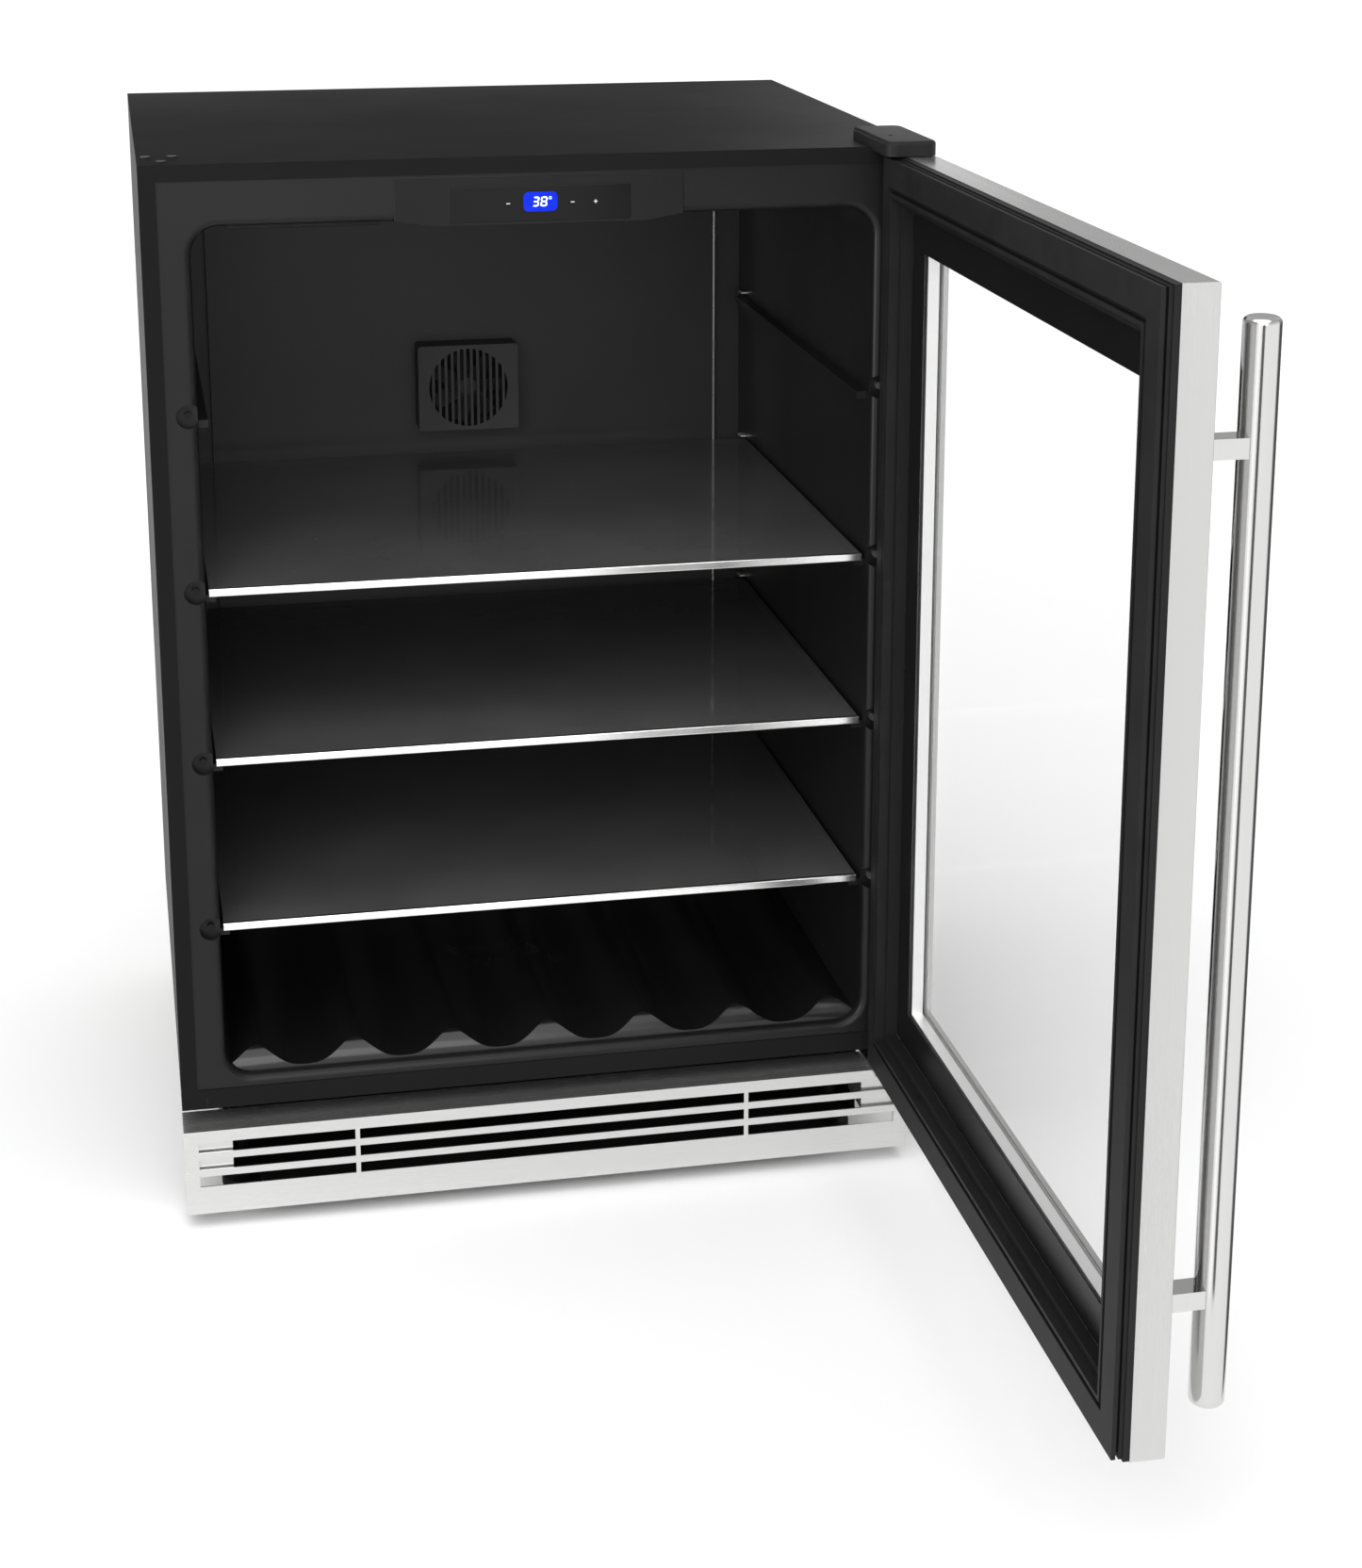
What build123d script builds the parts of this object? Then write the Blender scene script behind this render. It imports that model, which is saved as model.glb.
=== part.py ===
"""Undercounter refrigerator with one glass door, standing open at a right angle.

The cabinet frame used below has X to the right as seen from the front, Y into the cabinet and Z up.
X = 0 is the cabinet's middle plane, Y = 0 its front face and Z = 0 the floor.
export_node moves every piece so that the written origin lies on the floor, centred under the whole
refrigerator with its door open.
"""

from build123d import *
from math import cos, pi, sin
import os

# ---------------------------------------------------------------- driving dimensions (mm)
WIDTH = 606.0  # cabinet and door
HEIGHT = 866.0  # floor to cabinet top
DEPTH = 510.0  # front face to rear panel
BODY_BOTTOM = 97.5  # underside of the cabinet body
SHEET = 1.0  # wrapper and rear sheet
PAN_SHEET = 1.2  # base pan
FLANGE = 13.0  # return flange of the wrapper at the front
WALL = 37.0  # side wall, outside to inside

LINER = 2.0  # moulded liner
LINER_FLANGE = 3.0
CAVITY_BOTTOM = 123.0
CAVITY_TOP = 818.0
CAVITY_BACK = 484.0
CAVITY_RADIUS = 22.0
LIP_RADIUS = 6.0
HUMP_FRONT = 372.0  # step in the liner over the machine compartment
HUMP_TOP = 213.0

LEVELS = (249.0, 389.0, 529.0, 669.0)  # middle of a shelf at each ledge
LEDGE = 8.0
SHELF_HALF_WIDTH = 263.0
SHELF_THICK = 5.0
SHELF_FRONT = 15.5
SHELF_BACK = 440.0

COMPARTMENT_FRONT = 400.0  # machine compartment behind the step
COMPARTMENT_TOP = 184.2
COMPARTMENT_HALF = 269.2
TRAY_TOP = 25.0

DOOR_BOTTOM = 93.0
DOOR_TOP = 862.7
DOOR_GAP = 0.8  # closed gasket to cabinet face
GASKET_THICK = 7.6
INNER_FRAME_THICK = 4.5
DOOR_EDGE = 24.5  # depth of the stainless edge
DOOR_SHEET = 1.2
WINDOW_INSET = 70.0
PANE = 3.2
PANE_GAP = 9.0

PIVOT_X = WIDTH / 2 - 14.35
PIVOT_Y = -22.2
PIN_RADIUS = 4.0
RUNNING = 0.05  # radial clearance of turning fits

HANDLE_RADIUS = 12.0
HANDLE_REACH = 41.0  # tube centre from the door's face
HANDLE_INSET = 35.0  # tube centre from the door's free edge
HANDLE_BOTTOM = 108.0
HANDLE_TOP = 835.0
POST_HEIGHTS = (188.0, 756.0)

KICK_FACE = -15.0
KICK_BOTTOM = 12.0
KICK_TOP = 85.0
KICK_DEPTH = 38.0
KICK_SLOTS = (36.0, 51.0, 66.0)  # lower edge of each row
KICK_SLOT_HIGH = 9.0
KICK_SLOT_HALF = 291.5
KICK_DIVIDER = 163.0

FAN_X = -2.0
FAN_Z = 591.0
FAN_FACE = (94.0, 81.0)
FAN_FRONT = 447.0
COVER_FRONT = 475.0
FAN_HOLE = 37.0

CONDENSER_FAN_Y = 455.0
CONDENSER_FAN_Z = 98.0

# ---------------------------------------------------------------- worked out from those
SIDE = WIDTH / 2
CAVITY_HALF = SIDE - WALL
DOOR_INNER = -DOOR_GAP
DOOR_GASKET = DOOR_INNER - GASKET_THICK
DOOR_LINER = DOOR_GASKET - INNER_FRAME_THICK
DOOR_OUTER = DOOR_LINER - DOOR_EDGE
PLATE_BACK = DOOR_OUTER + DOOR_SHEET
GLASS_FACE = DOOR_INNER - 17.0
INNER_PANE_OUT = GLASS_FACE - PANE
OUTER_PANE_IN = INNER_PANE_OUT - PANE_GAP
OUTER_PANE_OUT = OUTER_PANE_IN - PANE
HANDLE_X = -SIDE + HANDLE_INSET
HANDLE_Y = DOOR_OUTER - HANDLE_REACH
CORD_INLET_END = DEPTH + 6.0

OPEN_X_HIGH = PIVOT_X - (HANDLE_Y - HANDLE_RADIUS - PIVOT_Y)
OPEN_Y_LOW = PIVOT_Y - (PIVOT_X + SIDE)
ORIGIN_X = (OPEN_X_HIGH - SIDE) / 2
ORIGIN_Y = (OPEN_Y_LOW + CORD_INLET_END) / 2


# ---------------------------------------------------------------- helpers
def export_node(name, shape):
    """Write one node in the written frame."""
    solids = shape.solids()
    placed = [Pos(-ORIGIN_X, -ORIGIN_Y, 0) * solid for solid in solids]
    result = placed[0] if len(placed) == 1 else Compound(children=placed)
    export_step(result, f"parts/{name}.step")


def block(x0, x1, y0, y1, z0, z1):
    """A box between two corners."""
    return Pos((x0 + x1) / 2, (y0 + y1) / 2, (z0 + z1) / 2) * Box(x1 - x0, y1 - y0, z1 - z0)


def rod_x(y, z, x0, x1, radius):
    return Pos((x0 + x1) / 2, y, z) * Rot(0, 90, 0) * Cylinder(radius, x1 - x0)


def rod_y(x, z, y0, y1, radius):
    return Pos(x, (y0 + y1) / 2, z) * Rot(90, 0, 0) * Cylinder(radius, y1 - y0)


def rod_z(x, y, z0, z1, radius):
    return Pos(x, y, (z0 + z1) / 2) * Cylinder(radius, z1 - z0)


def mirrored(shape):
    """The shape and its twin on the cabinet's other side."""
    return shape + mirror(shape, about=Plane.YZ)


def group(shapes):
    """Separate solids kept side by side."""
    return Compound(children=[solid for shape in shapes for solid in shape.solids()])


def extruded_y(sketch, y0, y1):
    """A sketch drawn in X and Z, extruded from y0 to y1."""
    return Pos(0, y1, 0) * extrude(Plane.XZ * sketch, amount=y1 - y0)


def rounded_tunnel(half, z0, z1, radius, y0, y1):
    """A prism along Y with four round corners."""
    sketch = Pos(0, (z0 + z1) / 2) * RectangleRounded(2 * half, z1 - z0, radius)
    return extruded_y(sketch, y0, y1)


def tube_run(points, bend, radius):
    """A round rod along straight runs joined by arcs of one bend radius."""
    path = FilletPolyline(*points, radius=bend)
    return sweep(Plane(path @ 0, z_dir=path % 0) * Circle(radius), path=path)


# ---------------------------------------------------------------- cabinet shell
PLUG_PLACES = ((-296.0, 46.0), (-276.0, 46.0), (-285.0, 18.0))
HINGE_SCREW_PLACES = ((277.5, 14.0), (294.5, 14.0), (286.0, 44.0))
PLUG_RADIUS = 2.6
SCREW_RADIUS = 2.5


def outer_wrapper():
    """Top and sides in one sheet, with a mitred return flange at the front."""
    outside = block(-SIDE, SIDE, 0, DEPTH, BODY_BOTTOM, HEIGHT)
    inside = block(-SIDE + SHEET, SIDE - SHEET, SHEET, DEPTH + 1, BODY_BOTTOM - 1, HEIGHT - SHEET)
    mouth = block(-SIDE + FLANGE, SIDE - FLANGE, -1, SHEET + 1, BODY_BOTTOM - 1, HEIGHT - FLANGE)
    shell = outside - inside - mouth
    near, far = FLANGE + 2, SHEET + 1.5
    slit = Rot(0, 45, 0) * Box(0.5, 4 * SHEET, (near - far) * 2**0.5)
    for side in (-1, 1):
        turned = slit if side == 1 else mirror(slit, about=Plane.YZ)
        shell -= Pos(side * (SIDE - (near + far) / 2), 0, HEIGHT - (near + far) / 2) * turned
    for x, y in PLUG_PLACES:
        shell -= rod_z(x, y, HEIGHT - 3, HEIGHT + 1, PLUG_RADIUS)
    for x, y in HINGE_SCREW_PLACES:
        shell -= rod_z(x, y, HEIGHT - 3, HEIGHT + 1, SCREW_RADIUS)
    return shell


def rear_panel():
    """Flat rear sheet, notched for the machine compartment."""
    sheet = block(-SIDE + SHEET, SIDE - SHEET, DEPTH - SHEET, DEPTH, BODY_BOTTOM + PAN_SHEET, HEIGHT - SHEET)
    notch = block(-COMPARTMENT_HALF, COMPARTMENT_HALF, DEPTH - 3, DEPTH + 1, 0, COMPARTMENT_TOP)
    return sheet - notch


COVER_SLOT_ROWS = 8


def machine_cover():
    """Removable rear cover with louvre slots and the hole for the cord inlet."""
    cover = block(-268, 268, DEPTH - SHEET, DEPTH, TRAY_TOP, COMPARTMENT_TOP - 0.5)
    for row in range(COVER_SLOT_ROWS):
        z = 55 + 14 * row
        for x in (-60, 50, 160):
            cover -= block(x - 45, x + 45, DEPTH - 3, DEPTH + 1, z, z + 5)
    cover -= rod_y(CORD_X, CORD_Z, DEPTH - 3, DEPTH + 1, 9)
    return cover


CORD_X = -200.0
CORD_Z = 60.0


def cord_inlet():
    """Strain relief bushing of the supply cord, set in the rear cover."""
    body = rod_y(CORD_X, CORD_Z, DEPTH - 7, CORD_INLET_END - 3, 9)
    collar = rod_y(CORD_X, CORD_Z, DEPTH, CORD_INLET_END, 12)
    bore = rod_y(CORD_X, CORD_Z, DEPTH - 9, CORD_INLET_END + 1, 3.6)
    return body + collar - bore


def base_pan():
    """Bottom sheet with its front flange and the stepped housing of the machine compartment."""
    pan = block(-SIDE + SHEET, SIDE - SHEET, 0, COMPARTMENT_FRONT, BODY_BOTTOM, BODY_BOTTOM + PAN_SHEET)
    pan -= mirrored(block(SIDE - FLANGE, SIDE, -1, SHEET, BODY_BOTTOM - 1, BODY_BOTTOM + 2))
    flange = block(-SIDE + FLANGE, SIDE - FLANGE, 0, SHEET, BODY_BOTTOM, 114)
    step = block(-COMPARTMENT_HALF, COMPARTMENT_HALF, COMPARTMENT_FRONT, DEPTH - SHEET, BODY_BOTTOM, COMPARTMENT_TOP)
    half_room = COMPARTMENT_HALF - PAN_SHEET
    room = block(-half_room, half_room, COMPARTMENT_FRONT + PAN_SHEET, DEPTH + 1, 0, COMPARTMENT_TOP - PAN_SHEET)
    notch = block(-283.5, -282, -1, SHEET + 0.5, 98.5, 107.5)
    result = pan + flange + (step - room) - notch
    for x, y, radius in TUBE_HOLES:
        result -= rod_z(x, y, COMPARTMENT_TOP - 3, COMPARTMENT_TOP + 1, radius)
    result -= rod_z(DRAIN_X, DRAIN_Y, BODY_BOTTOM - 1, BODY_BOTTOM + 3, DRAIN_RADIUS)
    return result


def lip_cup(side, level, radius, y1):
    """Round recess in the front lip beside a ledge."""
    return rod_y(side * 273, level + 4, -1, y1, radius)


def cavity(offset):
    """The hollow inside the liner, grown by offset."""
    tunnel = rounded_tunnel(
        CAVITY_HALF + offset, CAVITY_BOTTOM - offset, CAVITY_TOP + offset, CAVITY_RADIUS + offset,
        SHEET, CAVITY_BACK + offset
    )
    hump = block(-SIDE, SIDE, HUMP_FRONT + offset, DEPTH, 0, HUMP_TOP - offset)
    hump = fillet(hump.edges().filter_by(Axis.X).group_by(Axis.Z)[-1].sort_by(Axis.Y)[0], 12 - offset)
    return tunnel - hump


def ledge_bars():
    """The four ledges on each side wall that carry shelves."""
    bars = []
    for level in LEVELS:
        top = level - SHELF_THICK / 2
        for side in (-1, 1):
            inner = side * (CAVITY_HALF - LEDGE)
            outer = side * (CAVITY_HALF + 1)
            bars.append(block(min(inner, outer), max(inner, outer), 18, 462, top - 6, top))
    return bars


def liner_outside():
    """The liner's outer skin, which is the face of the foam."""
    skin = cavity(LINER)
    for level in LEVELS:
        for side in (-1, 1):
            skin += lip_cup(side, level, 11.5, 11).intersect(block(-SIDE, SIDE, SHEET, 20, 0, HEIGHT))
    return skin


def inner_liner():
    """Moulded liner: flange, soft lip, walls with ledges, and the step over the machine compartment."""
    flange = block(
        -SIDE + SHEET, SIDE - SHEET, SHEET, SHEET + LINER_FLANGE, BODY_BOTTOM + PAN_SHEET, HEIGHT - SHEET
    )
    body = liner_outside() + flange
    front = block(-SIDE, SIDE, -10, SHEET, 0, HEIGHT)
    hollow = cavity(0) + front
    rim = hollow.edges().filter_by_position(Axis.Y, SHEET - 0.01, SHEET + 0.01)
    rim = rim.filter_by(lambda edge: abs(edge.center().X) < CAVITY_HALF + 1)
    rim = rim.filter_by(lambda edge: CAVITY_BOTTOM - 1 < edge.center().Z < CAVITY_TOP + 1)
    hollow = fillet(rim, LIP_RADIUS)
    body -= hollow
    for level in LEVELS:
        for side in (-1, 1):
            body -= lip_cup(side, level, 9.5, 9)
    for bar in ledge_bars():
        body += bar
    body -= control_pocket()
    body -= rod_z(DRAIN_X, DRAIN_Y, CAVITY_BOTTOM - 5, CAVITY_BOTTOM + 2, 4)
    for x, z, radius in EVAPORATOR_HOLES:
        body -= rod_y(x, z, CAVITY_BACK - 1, CAVITY_BACK + 4, radius)
    return body


def foam_insulation():
    """Foam between the wrapper and the liner, foamed as slabs that meet at the corners of the cavity."""
    foam = block(
        -SIDE + SHEET, SIDE - SHEET, SHEET + LINER_FLANGE, DEPTH - SHEET, BODY_BOTTOM + PAN_SHEET, HEIGHT - SHEET
    )
    foam -= liner_outside()
    foam -= block(-COMPARTMENT_HALF, COMPARTMENT_HALF, COMPARTMENT_FRONT, DEPTH, 0, COMPARTMENT_TOP)
    foam -= control_pocket()
    foam -= rod_z(DRAIN_X, DRAIN_Y, 90, CAVITY_BOTTOM, DRAIN_RADIUS)
    for x, y, radius in TUBE_HOLES:
        foam -= rod_z(x, y, 180, EVAPORATOR_TUBE_Z, radius + 0.5)
    for x, z, radius in EVAPORATOR_HOLES:
        room = radius + 0.5
        foam -= block(x - room, x + room, CAVITY_BACK, TUBE_Y + room, z - 16, z + room)
    for x, y in HINGE_SCREW_PLACES:
        foam -= rod_z(x, y, HEIGHT - 16, HEIGHT, SCREW_RADIUS)
    for x, y in PLUG_PLACES:
        foam -= rod_z(x, y, HEIGHT - 6, HEIGHT, PLUG_RADIUS)
    half = CAVITY_HALF + LINER
    floor = CAVITY_BOTTOM - LINER
    ceiling = CAVITY_TOP + LINER
    back = CAVITY_BACK + LINER
    riser = HUMP_FRONT + LINER
    slabs = [
        block(-SIDE, -half, 0, DEPTH, 0, HEIGHT),
        block(half, SIDE, 0, DEPTH, 0, HEIGHT),
        block(-half, half, 0, DEPTH, ceiling, HEIGHT),
        block(-half, half, back, DEPTH, 0, ceiling),
        block(-half, half, 0, back, 0, floor),
        block(-half, half, riser, COMPARTMENT_FRONT, floor, COMPARTMENT_TOP),
        block(-half, half, riser, back, COMPARTMENT_TOP, HUMP_TOP),
    ]
    radius = CAVITY_RADIUS + LINER
    for side in (-1, 1):
        wall, inner = side * half, side * (half - radius)
        for level, centre, end in ((floor, floor + radius, riser), (ceiling, ceiling - radius, back)):
            for corner in ((wall, centre), (inner, level)):
                wedge = make_face(Polyline((wall, level), corner, (inner, centre), (wall, level)))
                slabs.append(extruded_y(wedge, 0, end))
    return group([foam & slab for slab in slabs])


def hole_plugs():
    """Plugs in the holes of the unused left hinge."""
    plugs = []
    for x, y in PLUG_PLACES:
        plugs.append(rod_z(x, y, HEIGHT - 5, HEIGHT, PLUG_RADIUS) + rod_z(x, y, HEIGHT, HEIGHT + 0.8, 4))
    return group(plugs)


# ---------------------------------------------------------------- base
FRAME_HALF = 270.0
RAIL_INNER = 240.0
FRAME_SHEET = 1.5
FRAME_BOTTOM = 22.0
CROSS_BOTTOM = 88.8
TRAY_FRONT = 200.0
BELLY_FRONT = -9.0
LEG_PLACES = {
    "leg_front_left": (-255.0, 60.0),
    "leg_front_right": (255.0, 60.0),
    "leg_rear_left": (-255.0, 470.0),
    "leg_rear_right": (255.0, 470.0),
}
LEG_RADIUS = 5.0
MOUNT_PLACES = ((-215.0, 415.0), (-85.0, 415.0), (-215.0, 495.0), (-85.0, 495.0))


def base_frame():
    """Welded base: two side channels, a front cross channel out to the hinge, the tray, the belly sheet in front
    of it that guides the air from the grille, and four weld nuts."""
    channel = block(RAIL_INNER, FRAME_HALF, 30, 508, FRAME_BOTTOM, BODY_BOTTOM)
    channel -= block(
        RAIL_INNER - 1, FRAME_HALF - FRAME_SHEET, 29, 509, FRAME_BOTTOM + FRAME_SHEET, BODY_BOTTOM - FRAME_SHEET
    )
    top_notch = block(RAIL_INNER - 1, FRAME_HALF + 1, COMPARTMENT_FRONT - 2, 509, BODY_BOTTOM - 4, BODY_BOTTOM + 1)
    rails = mirrored(channel - top_notch)
    cross = block(-FRAME_HALF, HINGE_X[1], 30, 60, CROSS_BOTTOM, BODY_BOTTOM)
    cross -= block(-SIDE, SIDE, 31.2, 58.8, CROSS_BOTTOM + PAN_SHEET, BODY_BOTTOM + 1)
    tray = block(-FRAME_HALF + 1, FRAME_HALF - 1, TRAY_FRONT, 508, FRAME_BOTTOM + FRAME_SHEET, TRAY_TOP)
    belly = block(-RAIL_INNER, RAIL_INNER, BELLY_FRONT, TRAY_FRONT + 10, FRAME_BOTTOM, FRAME_BOTTOM + FRAME_SHEET)
    frame = rails + cross + tray + belly
    for x, y in LEG_PLACES.values():
        frame += rod_z(x, y, FRAME_BOTTOM + FRAME_SHEET, FRAME_BOTTOM + 10, 9)
    for x, y in LEG_PLACES.values():
        frame -= rod_z(x, y, FRAME_BOTTOM - 1, FRAME_BOTTOM + 11, LEG_RADIUS + RUNNING)
    return frame


def levelling_leg(x, y):
    """Foot pad, hexagon and stem."""
    pad = fillet(rod_z(x, y, 0, 7, 17).edges().group_by(Axis.Z)[-1], 2)
    hexagon = Pos(x, y, 7) * extrude(RegularPolygon(9, 6), amount=6)
    stem = rod_z(x, y, 13, 75, LEG_RADIUS)
    return pad + hexagon + stem


def kick_plate():
    """Stainless grille: face with three rows of slots, top flange and two side flanges."""
    sheet = DOOR_SHEET
    back = KICK_FACE + KICK_DEPTH
    plate = block(-SIDE, SIDE, KICK_FACE, back, KICK_BOTTOM, KICK_TOP)
    plate -= block(-SIDE + sheet, SIDE - sheet, KICK_FACE + sheet, back + 1, KICK_BOTTOM - 1, KICK_TOP - sheet)
    edge = KICK_DIVIDER - 1.85
    outer_edge = KICK_DIVIDER + 1.85
    for z in KICK_SLOTS:
        for x0, x1 in ((-KICK_SLOT_HALF, -outer_edge), (-edge, edge), (outer_edge, KICK_SLOT_HALF)):
            plate -= block(x0, x1, KICK_FACE - 1, KICK_FACE + sheet + 1, z, z + KICK_SLOT_HIGH)
    return plate


def kick_plate_brackets():
    """Two stainless angles that hold the grille to the base frame."""
    top = KICK_TOP - DOOR_SHEET
    front = block(264, SIDE - DOOR_SHEET, -11.2, -10, 48, top)
    web = block(264, 265.2, -10, 30, 48, top)
    bracket = front + web
    return group([bracket, mirror(bracket, about=Plane.YZ)])


# ---------------------------------------------------------------- cooling system
TUBE_Y = 496.0
CAPILLARY_X = 222.0
SUCTION_X = 200.0
CAPILLARY_RADIUS = 2.5
SUCTION_RADIUS = 4.0
EVAPORATOR_TUBE_Z = 430.0
TUBE_HOLES = (
    (CAPILLARY_X, TUBE_Y, CAPILLARY_RADIUS + 0.5),
    (SUCTION_X, TUBE_Y, SUCTION_RADIUS + 0.5),
)
EVAPORATOR_HOLES = (
    (CAPILLARY_X, EVAPORATOR_TUBE_Z, CAPILLARY_RADIUS + 0.5),
    (SUCTION_X, EVAPORATOR_TUBE_Z, SUCTION_RADIUS + 0.5),
)
DRAIN_X = -30.0
DRAIN_Y = 330.0
DRAIN_RADIUS = 6.0
EVAPORATOR_BACK = 482.0
COMPRESSOR_X = -150.0
COMPRESSOR_Y = 455.0
COMPRESSOR_TOP = 150.0
DISCHARGE_Y = 432.0
DISCHARGE_Z = 110.0
SUCTION_RUN_Z = 169.0


def compressor():
    """Welded oval shell on a foot plate, with its suction and discharge stubs."""
    shell = Pos(COMPRESSOR_X, COMPRESSOR_Y, 95) * Box(126, 92, 110)
    shell = fillet(shell.edges().filter_by(Axis.Z), 44)
    shell = fillet(shell.edges().group_by(Axis.Z)[0] + shell.edges().group_by(Axis.Z)[-1], 22)
    seam = Pos(COMPRESSOR_X, COMPRESSOR_Y, 92) * extrude(RectangleRounded(130, 96, 46), amount=4)
    foot = block(-226, -74, 405, 505, 37, 40)
    for x, y in MOUNT_PLACES:
        foot -= rod_z(x, y, 36, 41, 6)
    stub = rod_x(DISCHARGE_Y, DISCHARGE_Z, -96, -78, 3)
    return shell + seam + foot + stub


def compressor_mounts():
    """Rubber grommets under the compressor's foot plate."""
    mounts = []
    for x, y in MOUNT_PLACES:
        grommet = rod_z(x, y, TRAY_TOP, 37, 9) + rod_z(x, y, 37, 40, 6) + rod_z(x, y, 40, 43, 9)
        mounts.append(grommet - rod_z(x, y, TRAY_TOP - 1, 44, 3.2))
    return group(mounts)


def start_relay():
    """Terminal cover with the start relay on the compressor's left end."""
    box = block(-240, -213.1, 432, 478, 60, 88)
    return fillet(box.edges().group_by(Axis.X)[0], 3)


CONDENSER_X = (70.0, 130.0)
CONDENSER_Y = (412.0, 498.0)
CONDENSER_Z = (32.0, 152.0)


def condenser():
    """Fin and tube coil: straight tubes along Y through flat fins, joined by return bends."""
    x0, x1 = CONDENSER_X
    z0, z1 = CONDENSER_Z
    rows = [z0 + 15 + 30 * i for i in range(4)]
    columns = (x0 + 15, x1 - 15)
    coil = None
    for i in range(10):
        y = CONDENSER_Y[0] + 10 + 7.2 * i
        fin = block(x0, x1, y, y + 1.0, z0, z1)
        coil = fin if coil is None else coil + fin
    for z in rows:
        for x in columns:
            coil += rod_y(x, z, CONDENSER_Y[0] + 5, CONDENSER_Y[1] - 5, 4)
    for z in rows:
        coil += block(columns[0], columns[1], CONDENSER_Y[1] - 9, CONDENSER_Y[1] - 3, z - 3, z + 3)
    for x in columns:
        coil += block(x - 3, x + 3, CONDENSER_Y[0] + 1, CONDENSER_Y[0] + 7, rows[0], rows[3])
    coil += rod_z(columns[0], DISCHARGE_Y, z1 - 6, z1 + 6, 3)
    coil += rod_x(440, rows[0], x1 - 6, x1 + 6, 3)
    return coil


def condenser_fan_shroud():
    """Plate with a round throat between the fan and the condenser."""
    plate = block(56, 58, 405, 505, TRAY_TOP, 155)
    collar = rod_x(CONDENSER_FAN_Y, CONDENSER_FAN_Z, 38, 56, 46)
    hole = rod_x(CONDENSER_FAN_Y, CONDENSER_FAN_Z, 30, 60, 44.5)
    return plate + collar - hole


def condenser_fan_motor():
    """Motor with a strap that carries it on the shroud."""
    y, z = CONDENSER_FAN_Y, CONDENSER_FAN_Z
    motor = rod_x(y, z, 2, 34, 20) + rod_x(y, z, 34, 37, 5)
    strap = block(28, 30, 405, 505, z - 8, z + 8)
    posts = block(30, 56, 405, 407.5, z - 8, z + 8) + block(30, 56, 502.5, 505, z - 8, z + 8)
    bore = rod_x(y, z, 20, 40, 2 + RUNNING)
    return motor + strap + posts - bore


def propeller(tip, hub, depth, blades, chord):
    """A fan wheel along +Z from Z = 0: hub, blades set at a pitch, and its shaft towards -Z."""
    wheel = Pos(0, 0, depth / 2) * Cylinder(hub, depth)
    keep = Pos(0, 0, depth / 2) * Cylinder(tip, depth * 2)
    for i in range(blades):
        blade = Pos((hub + tip) / 2 - 1, 0, depth / 2) * Rot(32, 0, 0) * Box(tip - hub + 6, chord, 1.4)
        wheel += Rot(0, 0, 360 * i / blades) * (blade & keep)
    return wheel


def condenser_fan_blade():
    wheel = propeller(43, 11, 12, 6, 20) + Pos(0, 0, -8) * Cylinder(2, 16)
    return Pos(38.5, CONDENSER_FAN_Y, CONDENSER_FAN_Z) * Rot(0, 90, 0) * wheel


def filter_drier():
    """Copper drier between the condenser and the capillary tube."""
    y, z = 440, CONDENSER_Z[0] + 15
    body = rod_x(y, z, 160, 216, 9)
    ends = rod_x(y, z, 150, 160, 3) + rod_x(y, z, 216, 226, CAPILLARY_RADIUS)
    return fillet(body.edges(), 3) + ends


def refrigerant_tubing():
    """Discharge, liquid, capillary and suction lines."""
    z_low = CONDENSER_Z[0] + 15
    condenser_x = CONDENSER_X[0] + 15
    discharge = tube_run(
        [
            (-78, DISCHARGE_Y, DISCHARGE_Z),
            (-40, DISCHARGE_Y, DISCHARGE_Z),
            (-40, DISCHARGE_Y, 176),
            (condenser_x, DISCHARGE_Y, 176),
            (condenser_x, DISCHARGE_Y, CONDENSER_Z[1] + 6),
        ], 14, 3
    )
    liquid = rod_x(440, z_low, CONDENSER_X[1] + 6, 150, 3)
    capillary = tube_run(
        [
            (226, 440, z_low),
            (250, 440, z_low),
            (250, 440, 110),
            (CAPILLARY_X, TUBE_Y, 140),
            (CAPILLARY_X, TUBE_Y, EVAPORATOR_TUBE_Z),
            (CAPILLARY_X, EVAPORATOR_BACK, EVAPORATOR_TUBE_Z),
        ], 10, CAPILLARY_RADIUS
    )
    suction = tube_run(
        [
            (SUCTION_X, EVAPORATOR_BACK, EVAPORATOR_TUBE_Z),
            (SUCTION_X, TUBE_Y, EVAPORATOR_TUBE_Z),
            (SUCTION_X, TUBE_Y, SUCTION_RUN_Z),
            (COMPRESSOR_X, TUBE_Y, SUCTION_RUN_Z),
            (COMPRESSOR_X, COMPRESSOR_Y, SUCTION_RUN_Z),
            (COMPRESSOR_X, COMPRESSOR_Y, COMPRESSOR_TOP),
        ], 12, SUCTION_RADIUS
    )
    return group([discharge, liquid, capillary, suction])


def drain_pan():
    """Tray that catches the defrost water."""
    outside = block(-130, 70, 225, 385, TRAY_TOP, 62)
    outside = fillet(outside.edges().filter_by(Axis.Z), 12)
    inside = block(-128, 68, 227, 383, TRAY_TOP + 2, 63)
    inside = fillet(inside.edges().filter_by(Axis.Z), 10)
    return outside - inside


def drain_tube():
    """Tube from the liner's floor to the tray."""
    top = CAVITY_BOTTOM - LINER
    return rod_z(DRAIN_X, DRAIN_Y, 50, top, DRAIN_RADIUS) - rod_z(DRAIN_X, DRAIN_Y, 49, top + 1, 4)


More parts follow.
